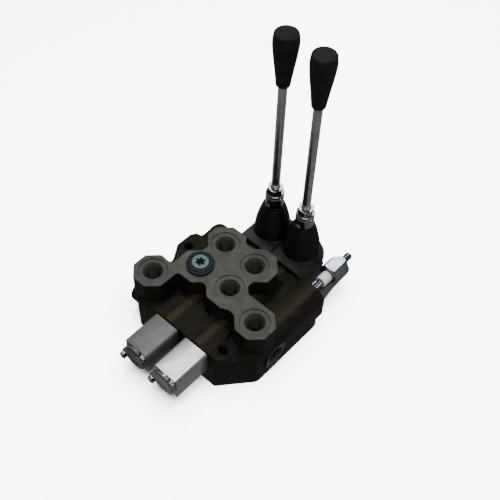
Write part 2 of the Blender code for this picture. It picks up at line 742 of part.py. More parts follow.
def knob(number, axis):
    """A tapered hand knob, widest near the top, with a blind hole for the rod."""
    height = KNOB_TOP_Z - KNOB_BOTTOM_Z
    outer = [(ROD_R + GAP, 0), (6.2, 0), (7.5, 1.5), (9.0, 14), (11.3, 30), (13.0, 44), (13.6, 51)]
    outer += [(13.5, 56), (12.7, height - 1.0), (11.7, height), (0, height - 0.8)]
    inner = [(0, 41), (ROD_R + GAP, 41)]
    at = (SPOOL_X[number], LEVER_Y, KNOB_BOTTOM_Z)
    place(f"knob_{number}", turned(inner + outer), "black_plastic", at, axis)


def bellows_radius(height):
    """The bellows' outer radius on its crests, from 0 at the turret to 1 at the hub."""
    return TURRET_R + (HUB_R + 2.2 - TURRET_R) * height**1.35


def bellows(number):
    """A plain ribbed cone, open at both ends."""
    low = TURRET_TOP_Z + GAP
    height = BELLOWS_TOP_Z - low
    folds = 4
    outer, inner = [], []
    for step in range(2 * folds + 1):
        share = step / (2 * folds)
        radius = bellows_radius(share) - (1.2 if step % 2 else 0)
        outer.append((radius, height * share))
        inner.append((max(radius - BELLOWS_WALL, HUB_R + GAP), height * share))
    at = (SPOOL_X[number], LEVER_Y, low)
    place(f"bellows_{number}", turned(outer + inner[::-1], closed=True), "black_rubber", at)


# ---------------------------------------------------------------- plugs and relief valve


def port_plug():
    """The plug that closes port A1, and the bonded seal under its head."""
    x, y, _ = PORTS["A1"]
    seat = TOP_Z - SPOT_FACE_DEPTH
    seal = ring(PORT_R + 1.3, 15.2, 1.6)
    place("port_plug_seal", seal, "zinc_steel", (x, y, seat + GAP))
    profile = [(0, -14), (PORT_R - 1.3, -14), (PORT_R - GAP, -13), (PORT_R - GAP, 0), (15.8, 0)]
    profile += [(15.8, 3.6), (14.8, 4.6), (6.0, 4.6), (6.0, -3), (0, -3)]
    place("port_plug", turned(profile), "zinc_steel", (x, y, seat + 2 * GAP + 1.6))


def relief_sleeve():
    """The cartridge in the block: its seat, its long spring chamber and the stem's neck."""
    start = PRESSURE_Y - 10
    length = END_BOSS_Y - 1 - start
    outer, wide, neck = RELIEF_SLEEVE_R, RELIEF_SLEEVE_R - 1.6, RELIEF_STEM_R + GAP
    profile = [(2.8, 0), (outer - 1, 0), (outer, 1), (outer, length), (neck, length)]
    profile += [(neck, length - 6), (wide, length - 6), (wide, 4), (2.8, 2)]
    at = (RELIEF_X, start, RELIEF_Z)
    place("relief_sleeve", turned(profile, INSIDE, closed=True), "zinc_steel", at, None, "+Y")


def relief_inside():
    """The poppet on its seat and the spring that holds it there."""
    seat_y = PRESSURE_Y - 6.6
    axis = axis_empty("relief_poppet_axis", (RELIEF_X, seat_y, RELIEF_Z))
    cone = turned([(0, 0), (2.0, 0), (4.3, 5.0), (4.3, 12), (0, 12)], COARSE)
    place("relief_poppet", cone, "bright_steel", (RELIEF_X, seat_y, RELIEF_Z), axis, "+Y")
    low, high = seat_y + 12 + GAP, RELIEF_SCREW_Y - GAP
    coil = helix(3.4, 0.8, high - low, 5, 8, 4)
    place("relief_spring", coil, "spring_steel", (RELIEF_X, low, RELIEF_Z), None, "+Y")


def relief_outside():
    """The adjusting screw with the nylon collar, the long lock nut and the jam nut on it."""
    stem, head, tip = RELIEF_STEM_R, 4.6, RELIEF_TIP_Y - RELIEF_SCREW_Y
    at = (RELIEF_X, RELIEF_SCREW_Y, RELIEF_Z)
    axis = axis_empty("relief_screw_axis", at)
    profile = [(0, 0), (4.4, 0), (4.4, 3), (stem, 3), (stem, tip - 20.6), (head, tip - 20.6)]
    profile += [(head, tip - 0.7), (head - 0.7, tip), (2.4, tip), (2.4, tip - 4), (0, tip - 4)]
    place("relief_adjusting_screw", turned(profile, COARSE), "zinc_steel", at, axis, "+Y")
    place("relief_collar", ring(stem + GAP, 7.0, 14.5), "white_nylon", (RELIEF_X, 75.3, RELIEF_Z), None, "+Y")
    nuts = (("relief_lock_nut", RELIEF_NUT_ACROSS, 90.1, 21.2), ("relief_jam_nut", 17.0, 111.6, 6.5))
    for name, across, low, length in nuts:
        bore_r = (stem if name == "relief_lock_nut" else head) + GAP
        nut = place(name, prism(polygon(6, across), 0, length), "zinc_steel", (RELIEF_X, low, RELIEF_Z), None, "+Y")
        combine(nut, "DIFFERENCE", [moved(rod(bore_r, 32), (RELIEF_X, low - 4, RELIEF_Z), "+Y")], "zinc_steel")


def carry_over():
    """The closed plug of the tank line, with the back-pressure poppet and spring it guides."""
    start = END_BOSS_Y + GAP
    bore, thread, outer = 5.2, CARRY_THREAD_R, CARRY_R
    profile = [(0, 30), (bore, 30), (bore, -34), (thread, -34), (thread, 0), (outer, 0)]
    profile += [(outer - 1.3, 12), (outer - 4.4, 36), (outer - 4.8, 64), (outer - 6.4, 69), (outer - 9.5, 71), (0, 71.4)]
    place("carry_over_plug", turned(profile), "zinc_steel", (CARRY_X, start, CARRY_Z), None, "+Y")
    seat_y = 14.0
    axis = axis_empty("back_pressure_axis", (CARRY_X, seat_y, CARRY_Z))
    poppet = turned([(0, 0), (7.0, 0), (7.0, 2.5), (5.0, 4), (5.0, 16), (0, 16)], COARSE)
    place("back_pressure_poppet", poppet, "bright_steel", (CARRY_X, seat_y, CARRY_Z), axis, "+Y")
    low, high = seat_y + 16 + GAP, start + 30 - GAP
    coil = helix(4.0, 0.8, high - low, 6, 8, 4)
    place("back_pressure_spring", coil, "spring_steel", (CARRY_X, low, CARRY_Z), None, "+Y")


def build():
    clear_scene()
    body_casting()
    cap_screws()
    lever_box_screws()
    port_plug()
    relief_sleeve()
    relief_inside()
    relief_outside()
    carry_over()
    for number, x in SPOOL_X.items():
        spool_axis = axis_empty(f"spool_{number}_axis", (x, 0, SPOOL_Z))
        lever_axis = axis_empty(f"lever_{number}_axis", (x, LEVER_Y, PIVOT_Z))
        spool(number, spool_axis)
        spool_seals(number)
        spring_cap(number)
        spring_pack(number, spool_axis)
        lever_box(number)
        pivot_pin(number)
        bellows(number)
        lever_hub(number, lever_axis)
        hub_set_screw(number, lever_axis)
        lever_rod(number, lever_axis)
        lever_lock_nut(number, lever_axis)
        knob(number, lever_axis)


build()
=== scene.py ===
import json
import math

import bmesh
import bpy
from mathutils import Matrix, Vector


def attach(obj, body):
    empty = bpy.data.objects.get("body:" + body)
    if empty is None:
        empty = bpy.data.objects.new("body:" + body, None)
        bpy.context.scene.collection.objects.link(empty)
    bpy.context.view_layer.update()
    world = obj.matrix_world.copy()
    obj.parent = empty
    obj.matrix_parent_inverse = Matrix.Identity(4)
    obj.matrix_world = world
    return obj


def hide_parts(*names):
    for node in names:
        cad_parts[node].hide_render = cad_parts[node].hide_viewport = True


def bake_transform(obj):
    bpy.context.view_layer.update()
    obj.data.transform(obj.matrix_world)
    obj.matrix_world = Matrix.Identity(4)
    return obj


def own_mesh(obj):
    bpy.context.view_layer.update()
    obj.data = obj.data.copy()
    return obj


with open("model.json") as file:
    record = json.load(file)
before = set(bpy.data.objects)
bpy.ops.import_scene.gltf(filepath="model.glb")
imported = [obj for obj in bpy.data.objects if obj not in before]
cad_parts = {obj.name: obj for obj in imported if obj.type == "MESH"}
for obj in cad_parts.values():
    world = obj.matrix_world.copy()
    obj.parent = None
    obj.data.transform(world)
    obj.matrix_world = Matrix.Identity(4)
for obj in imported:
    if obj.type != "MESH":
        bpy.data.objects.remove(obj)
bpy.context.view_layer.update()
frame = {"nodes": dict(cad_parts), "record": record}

MM = 0.001

# Lengths are in millimetres up to done(), which scales each piece to metres. They are those of the CAD.
TOP_Z = 85.0
SPOOL_X = {1: -23.0, 2: 23.0}
SPOOL_Z = 42.5
# Each top port's x and y, and half the width of its octagonal boss
PORTS = {
    "P": (-72.0, -64.3, 22.5),
    "T": (60.0, -36.0, 22.8),
    "A1": (-38.3, -21.0, 25.3),
    "B1": (-38.3, 21.0, 25.3),
    "A2": (8.3, -21.0, 28.0),
    "B2": (8.3, 21.0, 26.5),
}
MOUNT_HOLES = ((48.0, -74.0), (-85.0, 5.0), (-74.0, 47.0))
FRONT_Y = -91.0
BACK_Y = 55.0
SIDE_PORT_Y = {"P": -64.3, "T": -24.0}
SIDE_PORT_Z = 27.0
# The turned face round each port: its radius, and the band inside which painted shade of the mouth chamfer
# darkens it
SPOT_FACE = 17.05
SPOT_BAND = (12.8, 13.6)
PORT_PITCH = 1.814
# A spring cap's screws: across and up from the spool, and the y of the face under the head
CAP_SCREWS = ((12.1, 12.1, -138.5), (-18.6, -12.4, -141.0))
CAP_END_Y = -138.5
LEVER_Y = 88.5
PIVOT_Z = 62.0
BOOT_Z = (70.3, 115.0)
ROD_Z = 116.0
KNOB_Z = 292.5
# x and z of the axes of the relief valve and of the carry-over plug
RELIEF = (65.5, 51.2)
CARRY = (65.0, 29.0)
# The painted highlight on the casting's level crests: it starts, is full, is still full and ends at these
# heights
CREST_HIGHLIGHT_Z = (60.3, 61.4, 63.0, 63.5)

TURN_TO = {
    "+Z": Matrix.Identity(4),
    "+Y": Matrix.Rotation(math.radians(-90), 4, "X"),
    "-Y": Matrix.Rotation(math.radians(90), 4, "X"),
    "+X": Matrix.Rotation(math.radians(90), 4, "Y"),
    "-X": Matrix.Rotation(math.radians(-90), 4, "Y"),
}

# ---------------------------------------------------------------- materials


class Nodes:
    """A small helper that adds and links shader nodes."""

    def __init__(self, tree):
        self.tree = tree
        self.coords = self.add("ShaderNodeTexCoord").outputs["Object"]

    def add(self, kind, inputs=(), **settings):
        node = self.tree.nodes.new(kind)
        for key, value in settings.items():
            setattr(node, key, value)
        for key, value in dict(inputs).items():
            if isinstance(value, bpy.types.NodeSocket):
                self.tree.links.new(value, node.inputs[key])
            else:
                node.inputs[key].default_value = value
        return node

    def noise(self, size, stretch=(1, 1, 1), detail=3.0):
        """Noise with features of about this size in millimetres. A small stretch value draws them out."""
        scaled = self.add("ShaderNodeVectorMath", {0: self.coords, 1: stretch}, operation="MULTIPLY")
        made = self.add(
            "ShaderNodeTexNoise",
            {"Vector": scaled.outputs[0], "Scale": 1000.0 / size, "Detail": detail, "Roughness": 0.55},
        )
        return made.outputs["Fac"]

    def spread(self, value, low, high, to_low=0.0, to_high=1.0):
        made = self.add(
            "ShaderNodeMapRange",
            {"Value": value, "From Min": low, "From Max": high, "To Min": to_low, "To Max": to_high},
        )
        return made.outputs[0]

    def maths(self, operation, a, b=0.0):
        return self.add("ShaderNodeMath", {0: a, 1: b}, operation=operation).outputs[0]

    def scaled(self, colour, factor):
        return self.add("ShaderNodeVectorMath", {0: colour, 3: factor}, operation="SCALE").outputs[0]

    def blend(self, share, a, b):
        made = self.add("ShaderNodeMix", data_type="RGBA")
        for socket, value in zip((made.inputs[0], made.inputs[6], made.inputs[7]), (share, a, b)):
            if isinstance(value, bpy.types.NodeSocket):
                self.tree.links.new(value, socket)
            else:
                socket.default_value = value if isinstance(value, float) else (*value, 1.0)
        return made.outputs[2]


def crest_highlight_share(nodes):
    """Where a highlight is painted: 1 on the casting's level crests, broken up by noise, and 0 elsewhere."""
    height = nodes.add("ShaderNodeSeparateXYZ", {0: nodes.coords}).outputs[2]
    normal = nodes.add("ShaderNodeNewGeometry").outputs["Normal"]
    level = nodes.add("ShaderNodeSeparateXYZ", {0: normal}).outputs[2]
    start, full, still_full, end = (z * MM for z in CREST_HIGHLIGHT_Z)
    band = nodes.maths("MULTIPLY", nodes.spread(height, start, full), nodes.spread(height, end, still_full))
    share = nodes.maths("MULTIPLY", band, nodes.spread(level, 0.86, 0.97))
    broken = nodes.spread(nodes.noise(2.2, detail=5.0), 0.36, 0.62, 0.25, 1.0)
    return nodes.maths("MULTIPLY", share, broken)


def spot_face_marks(nodes):
    """The ring marks to add to the height, and the tone that darkens each port's turned face: slightly all
    over, and strongly towards the bore as painted shade of the mouth chamfer.
    """
    ring_pitch = 0.00045
    nearest = None
    flat = nodes.add("ShaderNodeVectorMath", {0: nodes.coords, 1: (1.0, 1.0, 0.0)}, operation="MULTIPLY")
    for x, y, _ in PORTS.values():
        centre = (x * MM, y * MM, 0.0)
        away = nodes.add("ShaderNodeVectorMath", {0: flat.outputs[0], 1: centre}, operation="DISTANCE")
        away = away.outputs["Value"]
        nearest = away if nearest is None else nodes.maths("MINIMUM", nearest, away)
    turning = nodes.maths("SINE", nodes.maths("MULTIPLY", nearest, math.tau / ring_pitch))
    inside = nodes.maths("LESS_THAN", nearest, SPOT_FACE * MM)
    marks = nodes.maths("MULTIPLY", turning, nodes.maths("MULTIPLY", inside, 0.25))
    # Slightly darker over the whole turned face; much darker inside the band, where the mouth chamfer's shade
    # is painted
    band = nodes.spread(nearest, *(radius * MM for radius in SPOT_BAND))
    shade = nodes.maths("SUBTRACT", 0.30, nodes.maths("MULTIPLY", band, 0.22))
    return marks, nodes.maths("SUBTRACT", 1.0, nodes.maths("MULTIPLY", inside, shade))


def surface(
    name, dark, light, metallic, rough, grain, depth,
    patch=14.0, stretch=(1, 1, 1), edge_wear_and_highlight=None, crest=None, specular=0.5, rings=False,
):
    """A procedural finish: patches from dark to light, a roughness range and a fine grain in millimetres.

    The edge colour lightens the sharp edges for wear and a painted edge highlight, the crest colour paints a
    highlight on the casting's level crests, and rings marks the ports' turned faces and paints shade round
    their mouths.
    """
    material = bpy.data.materials.new(name)
    material.use_nodes = True
    tree = material.node_tree
    shader = tree.nodes["Principled BSDF"]
    nodes = Nodes(tree)
    patches = nodes.spread(nodes.noise(patch), 0.32, 0.68)
    colour = nodes.blend(patches, dark, light)
    fine = nodes.noise(grain, stretch)
    speckle = nodes.spread(fine, 0.35, 0.7, 0.82, 1.12)
    colour = nodes.scaled(colour, speckle)
    roughness = nodes.spread(nodes.noise(patch * 0.35, detail=5.0), 0.3, 0.7, *rough)
    height = fine
    # Sharp convex edges are lightened: partly wear, partly a painted edge highlight
    if edge_wear_and_highlight:
        edge = nodes.add("ShaderNodeNewGeometry").outputs["Pointiness"]
        edge_wear_and_highlight_share = nodes.maths("ADD", edge, nodes.maths("MULTIPLY", nodes.noise(3.0), 0.05))
        colour = nodes.blend(nodes.spread(edge_wear_and_highlight_share, 0.555, 0.66), colour, edge_wear_and_highlight)
    # A painted highlight on the casting's level, upward-facing crests
    if crest:
        colour = nodes.blend(crest_highlight_share(nodes), colour, crest)
    if rings:
        marks, face_tone_and_mouth_shade = spot_face_marks(nodes)
        height = nodes.maths("ADD", height, marks)
        colour = nodes.scaled(colour, face_tone_and_mouth_shade)
    bump = nodes.add("ShaderNodeBump", {"Height": height, "Distance": depth * MM, "Strength": 1.0})
    tree.links.new(colour, shader.inputs["Base Color"])
    tree.links.new(roughness, shader.inputs["Roughness"])
    tree.links.new(bump.outputs[0], shader.inputs["Normal"])
    shader.inputs["Metallic"].default_value = metallic
    shader.inputs["Specular IOR Level"].default_value = specular
    return material


LOOKS = {
    # The crest colour is a painted highlight on the casting's crests; the edge colour is wear and a painted
    # edge highlight
    "cast": surface(
        "cast_phosphate", (0.0100, 0.0091, 0.0066), (0.0195, 0.0168, 0.0117), 0.0, (0.42, 0.58), 0.9, 0.2,
        patch=9.0, edge_wear_and_highlight=(0.060, 0.045, 0.028), specular=0.03, crest=(0.048, 0.038, 0.025),
    ),
    "box": surface(
        "cast_lever_box", (0.017, 0.0168, 0.0140), (0.028, 0.0272, 0.0222), 0.1, (0.38, 0.56), 0.7, 0.12,
        edge_wear_and_highlight=(0.05, 0.046, 0.039), specular=0.12,
    ),
    "milled": surface(
        "milled_top", (0.018, 0.0184, 0.0122), (0.034, 0.034, 0.0224), 0.5, (0.42, 0.56), 0.5, 0.012,
        patch=30.0, stretch=(0.12, 1, 1), rings=True,
    ),
    "bore": surface(
        "threaded_bore", (0.018, 0.018, 0.0137), (0.034, 0.0335, 0.026), 0.3, (0.4, 0.55), 0.5, 0.01,
    ),
    # One aluminium in two painted copies: cap 1 darker and duller as painted shade, cap 2 brighter and
    # glossier as a painted highlight
    "aluminium_painted_light_1": surface(
        "cap_aluminium_painted_shade_1", (0.024, 0.024, 0.0236), (0.046, 0.046, 0.0453), 0.0, (0.26, 0.36), 0.35, 0.003,
        patch=24.0, edge_wear_and_highlight=(0.10, 0.10, 0.098), specular=0.15,
    ),
    "aluminium_painted_light_2": surface(
        "cap_aluminium_painted_highlight_2", (0.028, 0.028, 0.0275), (0.052, 0.052, 0.0512), 0.0, (0.15, 0.22), 0.35, 0.003,
        patch=24.0, edge_wear_and_highlight=(0.11, 0.11, 0.108), specular=0.8,
    ),
    "zinc": surface(
        "bright_zinc", (0.15, 0.163, 0.166), (0.23, 0.244, 0.248), 1.0, (0.10, 0.18), 0.5, 0.002,
        patch=6.0,
    ),
    "blue_zinc": surface(
        "blue_zinc", (0.010, 0.0135, 0.0140), (0.017, 0.0215, 0.0222), 0.25, (0.36, 0.48), 0.6, 0.006,
        patch=7.0, edge_wear_and_highlight=(0.10, 0.125, 0.125), specular=0.02,
    ),
    "dull_zinc": surface(
        "dull_zinc", (0.085, 0.09, 0.083), (0.14, 0.145, 0.135), 0.9, (0.34, 0.5), 0.6, 0.006,
    ),
    "steel": surface("ground_steel", (0.40, 0.40, 0.39), (0.52, 0.52, 0.51), 1.0, (0.16, 0.28), 0.4, 0.002),
    "chrome": surface(
        "lever_rod_chrome", (0.26, 0.265, 0.26), (0.34, 0.34, 0.335), 1.0, (0.16, 0.24), 0.3, 0.002,
        stretch=(0.05, 0.05, 1),
    ),
    "spring": surface("spring_wire", (0.12, 0.12, 0.125), (0.2, 0.2, 0.205), 1.0, (0.25, 0.4), 0.4, 0.01),
    "rubber": surface(
        "bellows_rubber", (0.0016, 0.0016, 0.0017), (0.0032, 0.0032, 0.0034), 0.0, (0.28, 0.38), 0.35, 0.008,
        patch=8.0, specular=0.12,
    ),
    "plastic": surface(
        "knob_plastic", (0.0130, 0.0130, 0.0138), (0.0200, 0.0200, 0.0213), 0.0, (0.46, 0.56), 0.3, 0.008,
        patch=10.0, specular=0.02,
    ),
    "plastic_matt": surface(
        "knob_top_plastic", (0.0052, 0.0052, 0.0060), (0.0078, 0.0078, 0.0088), 0.0, (0.42, 0.56),
        0.25, 0.012, patch=6.0, specular=0.05,
    ),
    "nylon": surface("collar_nylon", (0.88, 0.88, 0.87), (0.95, 0.95, 0.94), 0.0, (0.35, 0.5), 0.5, 0.01),
}

# ---------------------------------------------------------------- shapes, in millimetres


def turned(profile, sides=96, closed=False):
    """Turns a profile of (radius, z) points about Z. A closed profile makes a ring."""
    shape = bmesh.new()
    points = [shape.verts.new((radius, 0.0, z)) for radius, z in profile]
    edges = [shape.edges.new(pair) for pair in zip(points, points[1:])]
    if closed:
        edges.append(shape.edges.new((points[-1], points[0])))
    bmesh.ops.spin(
        shape, geom=points + edges, cent=(0, 0, 0), axis=(0, 0, 1),
        angle=math.tau, steps=sides, use_merge=True,
    )
    bmesh.ops.remove_doubles(shape, verts=shape.verts, dist=1e-4)
    bmesh.ops.recalc_face_normals(shape, faces=shape.faces)
    return shape


def rod(radius, length, sides=64):
    return turned([(0, 0), (radius, 0), (radius, length), (0, length)], sides)


def prism(outline, low, high):
    shape = bmesh.new()
    floor = shape.faces.new([shape.verts.new((x, y, low)) for x, y in outline])
    raised = bmesh.ops.extrude_face_region(shape, geom=[floor])["geom"]
    top = [item for item in raised if isinstance(item, bmesh.types.BMVert)]
    bmesh.ops.translate(shape, verts=top, vec=(0, 0, high - low))
    bmesh.ops.recalc_face_normals(shape, faces=shape.faces)
    return shape


def loft(layers):
    """Joins outlines of equally many points, each given with its z."""
    shape = bmesh.new()
    rows = [[shape.verts.new((x, y, z)) for x, y in outline] for outline, z in layers]
    for low, high in zip(rows, rows[1:]):
        for index in range(len(low)):
            shape.faces.new((low[index - 1], low[index], high[index], high[index - 1]))
    shape.faces.new(rows[0])
    shape.faces.new(rows[-1])
    bmesh.ops.recalc_face_normals(shape, faces=shape.faces)
    return shape


def box(low, high):
    (x0, y0, z0), (x1, y1, z1) = low, high
    return prism([(x0, y0), (x1, y0), (x1, y1), (x0, y1)], z0, z1)


def rounded(corners, steps=4):
    """Replaces each (x, y, radius) corner with an arc. The ends of an open line have radius 0."""
    points = []
    for index, (x, y, radius) in enumerate(corners):
        here = Vector((x, y))
        before = Vector(corners[index - 1][:2]) - here
        after = Vector(corners[(index + 1) % len(corners)][:2]) - here
        if radius == 0 or before.length == 0 or after.length == 0:
            points.append((x, y))
            continue
        before.normalize()
        after.normalize()
        half = before.angle(after) / 2
        if half > math.radians(89):
            points.append((x, y))
            continue
        centre = here + (before + after).normalized() * radius / math.sin(half)
        start = here + before * radius / math.tan(half) - centre
        end = here + after * radius / math.tan(half) - centre
        sweep = start.angle_signed(end)
        for step in range(steps + 1):
            points.append(tuple(centre + Matrix.Rotation(-sweep * step / steps, 2) @ start))
    return points


def lathe(corners, sides=96, steps=3):
    """A solid of revolution from (radius, z, fillet) corners."""
    return turned(rounded(corners, steps), sides)


def polygon(sides, across_flats):
    radius = across_flats / 2 / math.cos(math.pi / sides)
    angles = [math.tau * side / sides for side in range(sides)]
    return [(radius * math.cos(angle), radius * math.sin(angle)) for angle in angles]


def moved(shape, at, direction="+Z"):
    shape.transform(Matrix.Translation(at) @ TURN_TO[direction])
    return shape


def thread(crest, root, low, high, pitch):
    """Profile points of a thread's ridges from low to high."""
    points = []
    for turn in range(int((high - low) / pitch)):
        for radius, share in ((root, 0.1), (crest, 0.42), (crest, 0.58), (root, 0.9)):
            points.append((radius, low + turn * pitch + share * pitch))
    return points


# ---------------------------------------------------------------- pieces


def mesh_of(shape, name="shape"):
    mesh = bpy.data.meshes.new(name)
    shape.to_mesh(mesh)
    shape.free()
    return mesh


def link(name, mesh):
    obj = bpy.data.objects.new(name, mesh)
    bpy.context.scene.collection.objects.link(obj)
    return obj


def applied(obj):
    """Replaces the object's mesh with the one its modifiers make."""
    graph = bpy.context.evaluated_depsgraph_get()
    mesh = bpy.data.meshes.new_from_object(obj.evaluated_get(graph))
    obj.modifiers.clear()
    obj.data = mesh
    return obj


def combine(obj, operation, shapes):
    """Joins the shapes to the object, cuts them from it or keeps what they share, one after another."""
    for shape in shapes:
        tool = link("tool", mesh_of(shape))
        modifier = obj.modifiers.new("combine", "BOOLEAN")
        modifier.operation = operation
        modifier.object = tool
        modifier.solver = "MANIFOLD"
        applied(obj)
        bpy.data.objects.remove(tool)
    return obj


def bevelled(obj, width, segments, angle):
    modifier = obj.modifiers.new("bevel", "BEVEL")
    modifier.width = width
    modifier.segments = segments
    modifier.limit_method = "ANGLE"
    modifier.angle_limit = math.radians(angle)
    return applied(obj)


def cast(name, shapes, voxel, smoothing):
    """Melts solids into one casting with rounded edges and fillets."""
    obj = combine(link(name, mesh_of(shapes[0], name)), "UNION", shapes[1:])
    melt = obj.modifiers.new("melt", "REMESH")
    melt.mode = "VOXEL"
    melt.voxel_size = voxel
    smooth = obj.modifiers.new("smooth", "SMOOTH")
    smooth.factor = 0.5
    smooth.iterations = smoothing
    thin = obj.modifiers.new("thin", "DECIMATE")
    thin.ratio = 0.4
    return applied(obj)


def done(obj, look, body="valve_body", replaces=(), sharp=32):
    """Finishes a piece made in millimetres: scale, material, shading and the body it rides on.
    """
    obj.data.transform(obj.matrix_world)
    obj.matrix_world = Matrix.Identity(4)
    obj.data.transform(Matrix.Scale(MM, 4))
    if look:
        obj.data.materials.clear()
        obj.data.materials.append(LOOKS[look])
    obj.data.shade_smooth()
    obj.data.set_sharp_from_angle(angle=math.radians(sharp))
    if body:
        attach(obj, body)
    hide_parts(*replaces)


def solid(name, shape, at=(0, 0, 0), direction="+Z"):
    return link(name, mesh_of(moved(shape, at, direction), name))


# ---------------------------------------------------------------- block


def boss_corner(port, number):
    x, y, half = PORTS[port]
    reach = half / math.cos(math.radians(22.5))
    angle = math.radians(22.5 + 45 * number)
    return x + reach * math.cos(angle), y + reach * math.sin(angle)


def deck_outline():
    def boss(port, first, last):
        return [(*boss_corner(port, number), 1.8) for number in range(first, last + 1)]

    corners = (
        boss("T", -1, 1)
        + [(30.0, PORTS["T"][1] + 22.8, 6), (22.5, -6.0, 5), (22.5, 2.5, 4), (34.8, 12.5, 3)]
        + boss("B2", 0, 1)
        + [(0.5, 47.5, 3), (-9.0, 38.0, 4), (-20.5, 38.0, 4)]
        + boss("B1", 1, 3)
        + [(-63.6, 17.0, 3), (-51.0, 4.6, 3), (-51.0, -4.6, 3), (-63.6, -16.0, 3), (-63.6, -42.5, 4)]
        + boss("P", 2, 7)
        + [(-49.5, -47.0, 3)]
        + boss("A1", 6, 6)
        + [(-20.0, -38.0, 4), (-13.0, -38.0, 3), (-2.5, -48.5, 3)]
        + boss("A2", 6, 6)
        + [(29.0, -44.5, 4)]
        + boss("T", 4, 6)
    )
    return rounded(corners, steps=6)


def base_outline():
    corners = [
        (50.0, FRONT_Y, 4), (82.3, -53.0, 10), (82.3, BACK_Y + 4, 9), (-80.0, BACK_Y + 4, 8),
        (-80.0, -38.0, 5), (-94.0, -50.0, 8), (-94.0, -72.0, 8), (-74.0, FRONT_Y, 6),
    ]
    return rounded(corners, steps=6)


def gallery_hump(inner, outer, crest, start, end):
    """A rounded ridge along Y, between two distances from the middle of the block."""
    side = math.copysign(1, outer)
    corners = [
        (abs(inner), 30.0, 0), (abs(outer), 30.0, 0), (abs(outer), crest, 16), (abs(inner), crest - 3, 5),
    ]
    outline = [(side * x, -z) for x, z in rounded(corners, steps=10)]
    if side < 0:
        outline.reverse()
    return moved(prism(outline[::-1], 0, end - start), (0, start, 0), "+Y")


def end_boss():
    """The boss at the back that carries the relief valve and the carry-over plug."""
    corners = rounded([(50.0, 11.0, 5), (84.6, 11.0, 12), (84.6, 62.2, 16), (50.0, 59.9, 4)], steps=8)
    return moved(prism([(x, -z) for x, z in reversed(corners)], 0, 30), (0, 34, 0), "+Y")


def lug_pad():
    corners = [
        (-60.0, -26.0, 0), (-60.0, 60.0, 8), (-85.5, 60.0, 9), (-85.5, 28.0, 2),
        (-92.5, 27.0, 5), (-97.0, 20.0, 5), (-97.0, -3.0, 6), (-83.0, -25.0, 7),
    ]
    return prism(rounded(corners, steps=6), -4, 54.5)


def front_shelf():
    """The flat cast face between the caps and the deck."""
    corners = [
        (-54.0, FRONT_Y + 0.6, 1), (-45.2, -76.2, 3), (-44.7, -52.6, 3), (-32.8, -53.0, 3), (-13.7, -43.0, 3),
        (-0.6, -51.4, 4), (28.0, -48.6, 4), (38.0, -50.6, 4), (41.0, -60.0, 2), (41.0, FRONT_Y + 0.6, 0),
    ]
    return prism(rounded(corners, steps=6), 30.0, 60.2)


def shelf_wedge():
    """The front lug, whose top falls away towards the corner."""
    corners = [(36.0, -89.7, 0), (50.5, -89.7, 5), (61.0, -77.0, 7), (60.0, -60.0, 3), (36.0, -60.0, 0)]
    wedge = prism(rounded(corners, steps=6), 31.0, 60.2)
    for vert in wedge.verts:
        if vert.co.z > 32:
            vert.co.z -= 0.28 * max(0.0, vert.co.x - 39.0)
    return wedge


def port_cutter(depth):
    """Spot face, chamfered mouth and threaded bore, opening upwards from z = 0."""
    bore, run = 9.45, 13 * PORT_PITCH
    profile = [(0, -depth), (bore - 0.6, -depth), (bore - 0.6, -3.4 - run)]
    profile += thread(bore - 0.1, bore + 0.75, -3.2 - run, -3.0, PORT_PITCH)
    profile += [(bore + 0.75, -2.7), (bore + 2.3, -1.0)]
    profile += [(16.7, -1.0), (17.0, -0.75), (17.0, -0.3), (17.35, 0.05), (17.35, 3), (0, 3)]
    return turned(profile)


def spool_bore():
    """The bore of one spool, widened where a gallery crosses it."""
    profile = [(0, FRONT_Y - 2), (9.4, FRONT_Y - 2)]
    wide = [(y, 4.0, 13.0) for y in (-44.0, -21.0, 0.0, 21.0, 40.0)] + [(y, 1.6, 12.5) for y in (-72.0, 48.0)]
    for y, half, radius in sorted(wide):
        profile += [(9.4, y - half), (radius, y - half), (radius, y + half), (9.4, y + half)]
    profile += [(9.4, BACK_Y + 6), (0, BACK_Y + 6)]
    return turned(profile, 48)


def box_screws_at(x):
    """The two screws of the lever box at this x: across from it, z, and the y of the face under the head."""
    side = math.copysign(1, x)
    return (side * 20.7, 47.0, 97.0), (-side * 17.5, 27.5, 107.0)


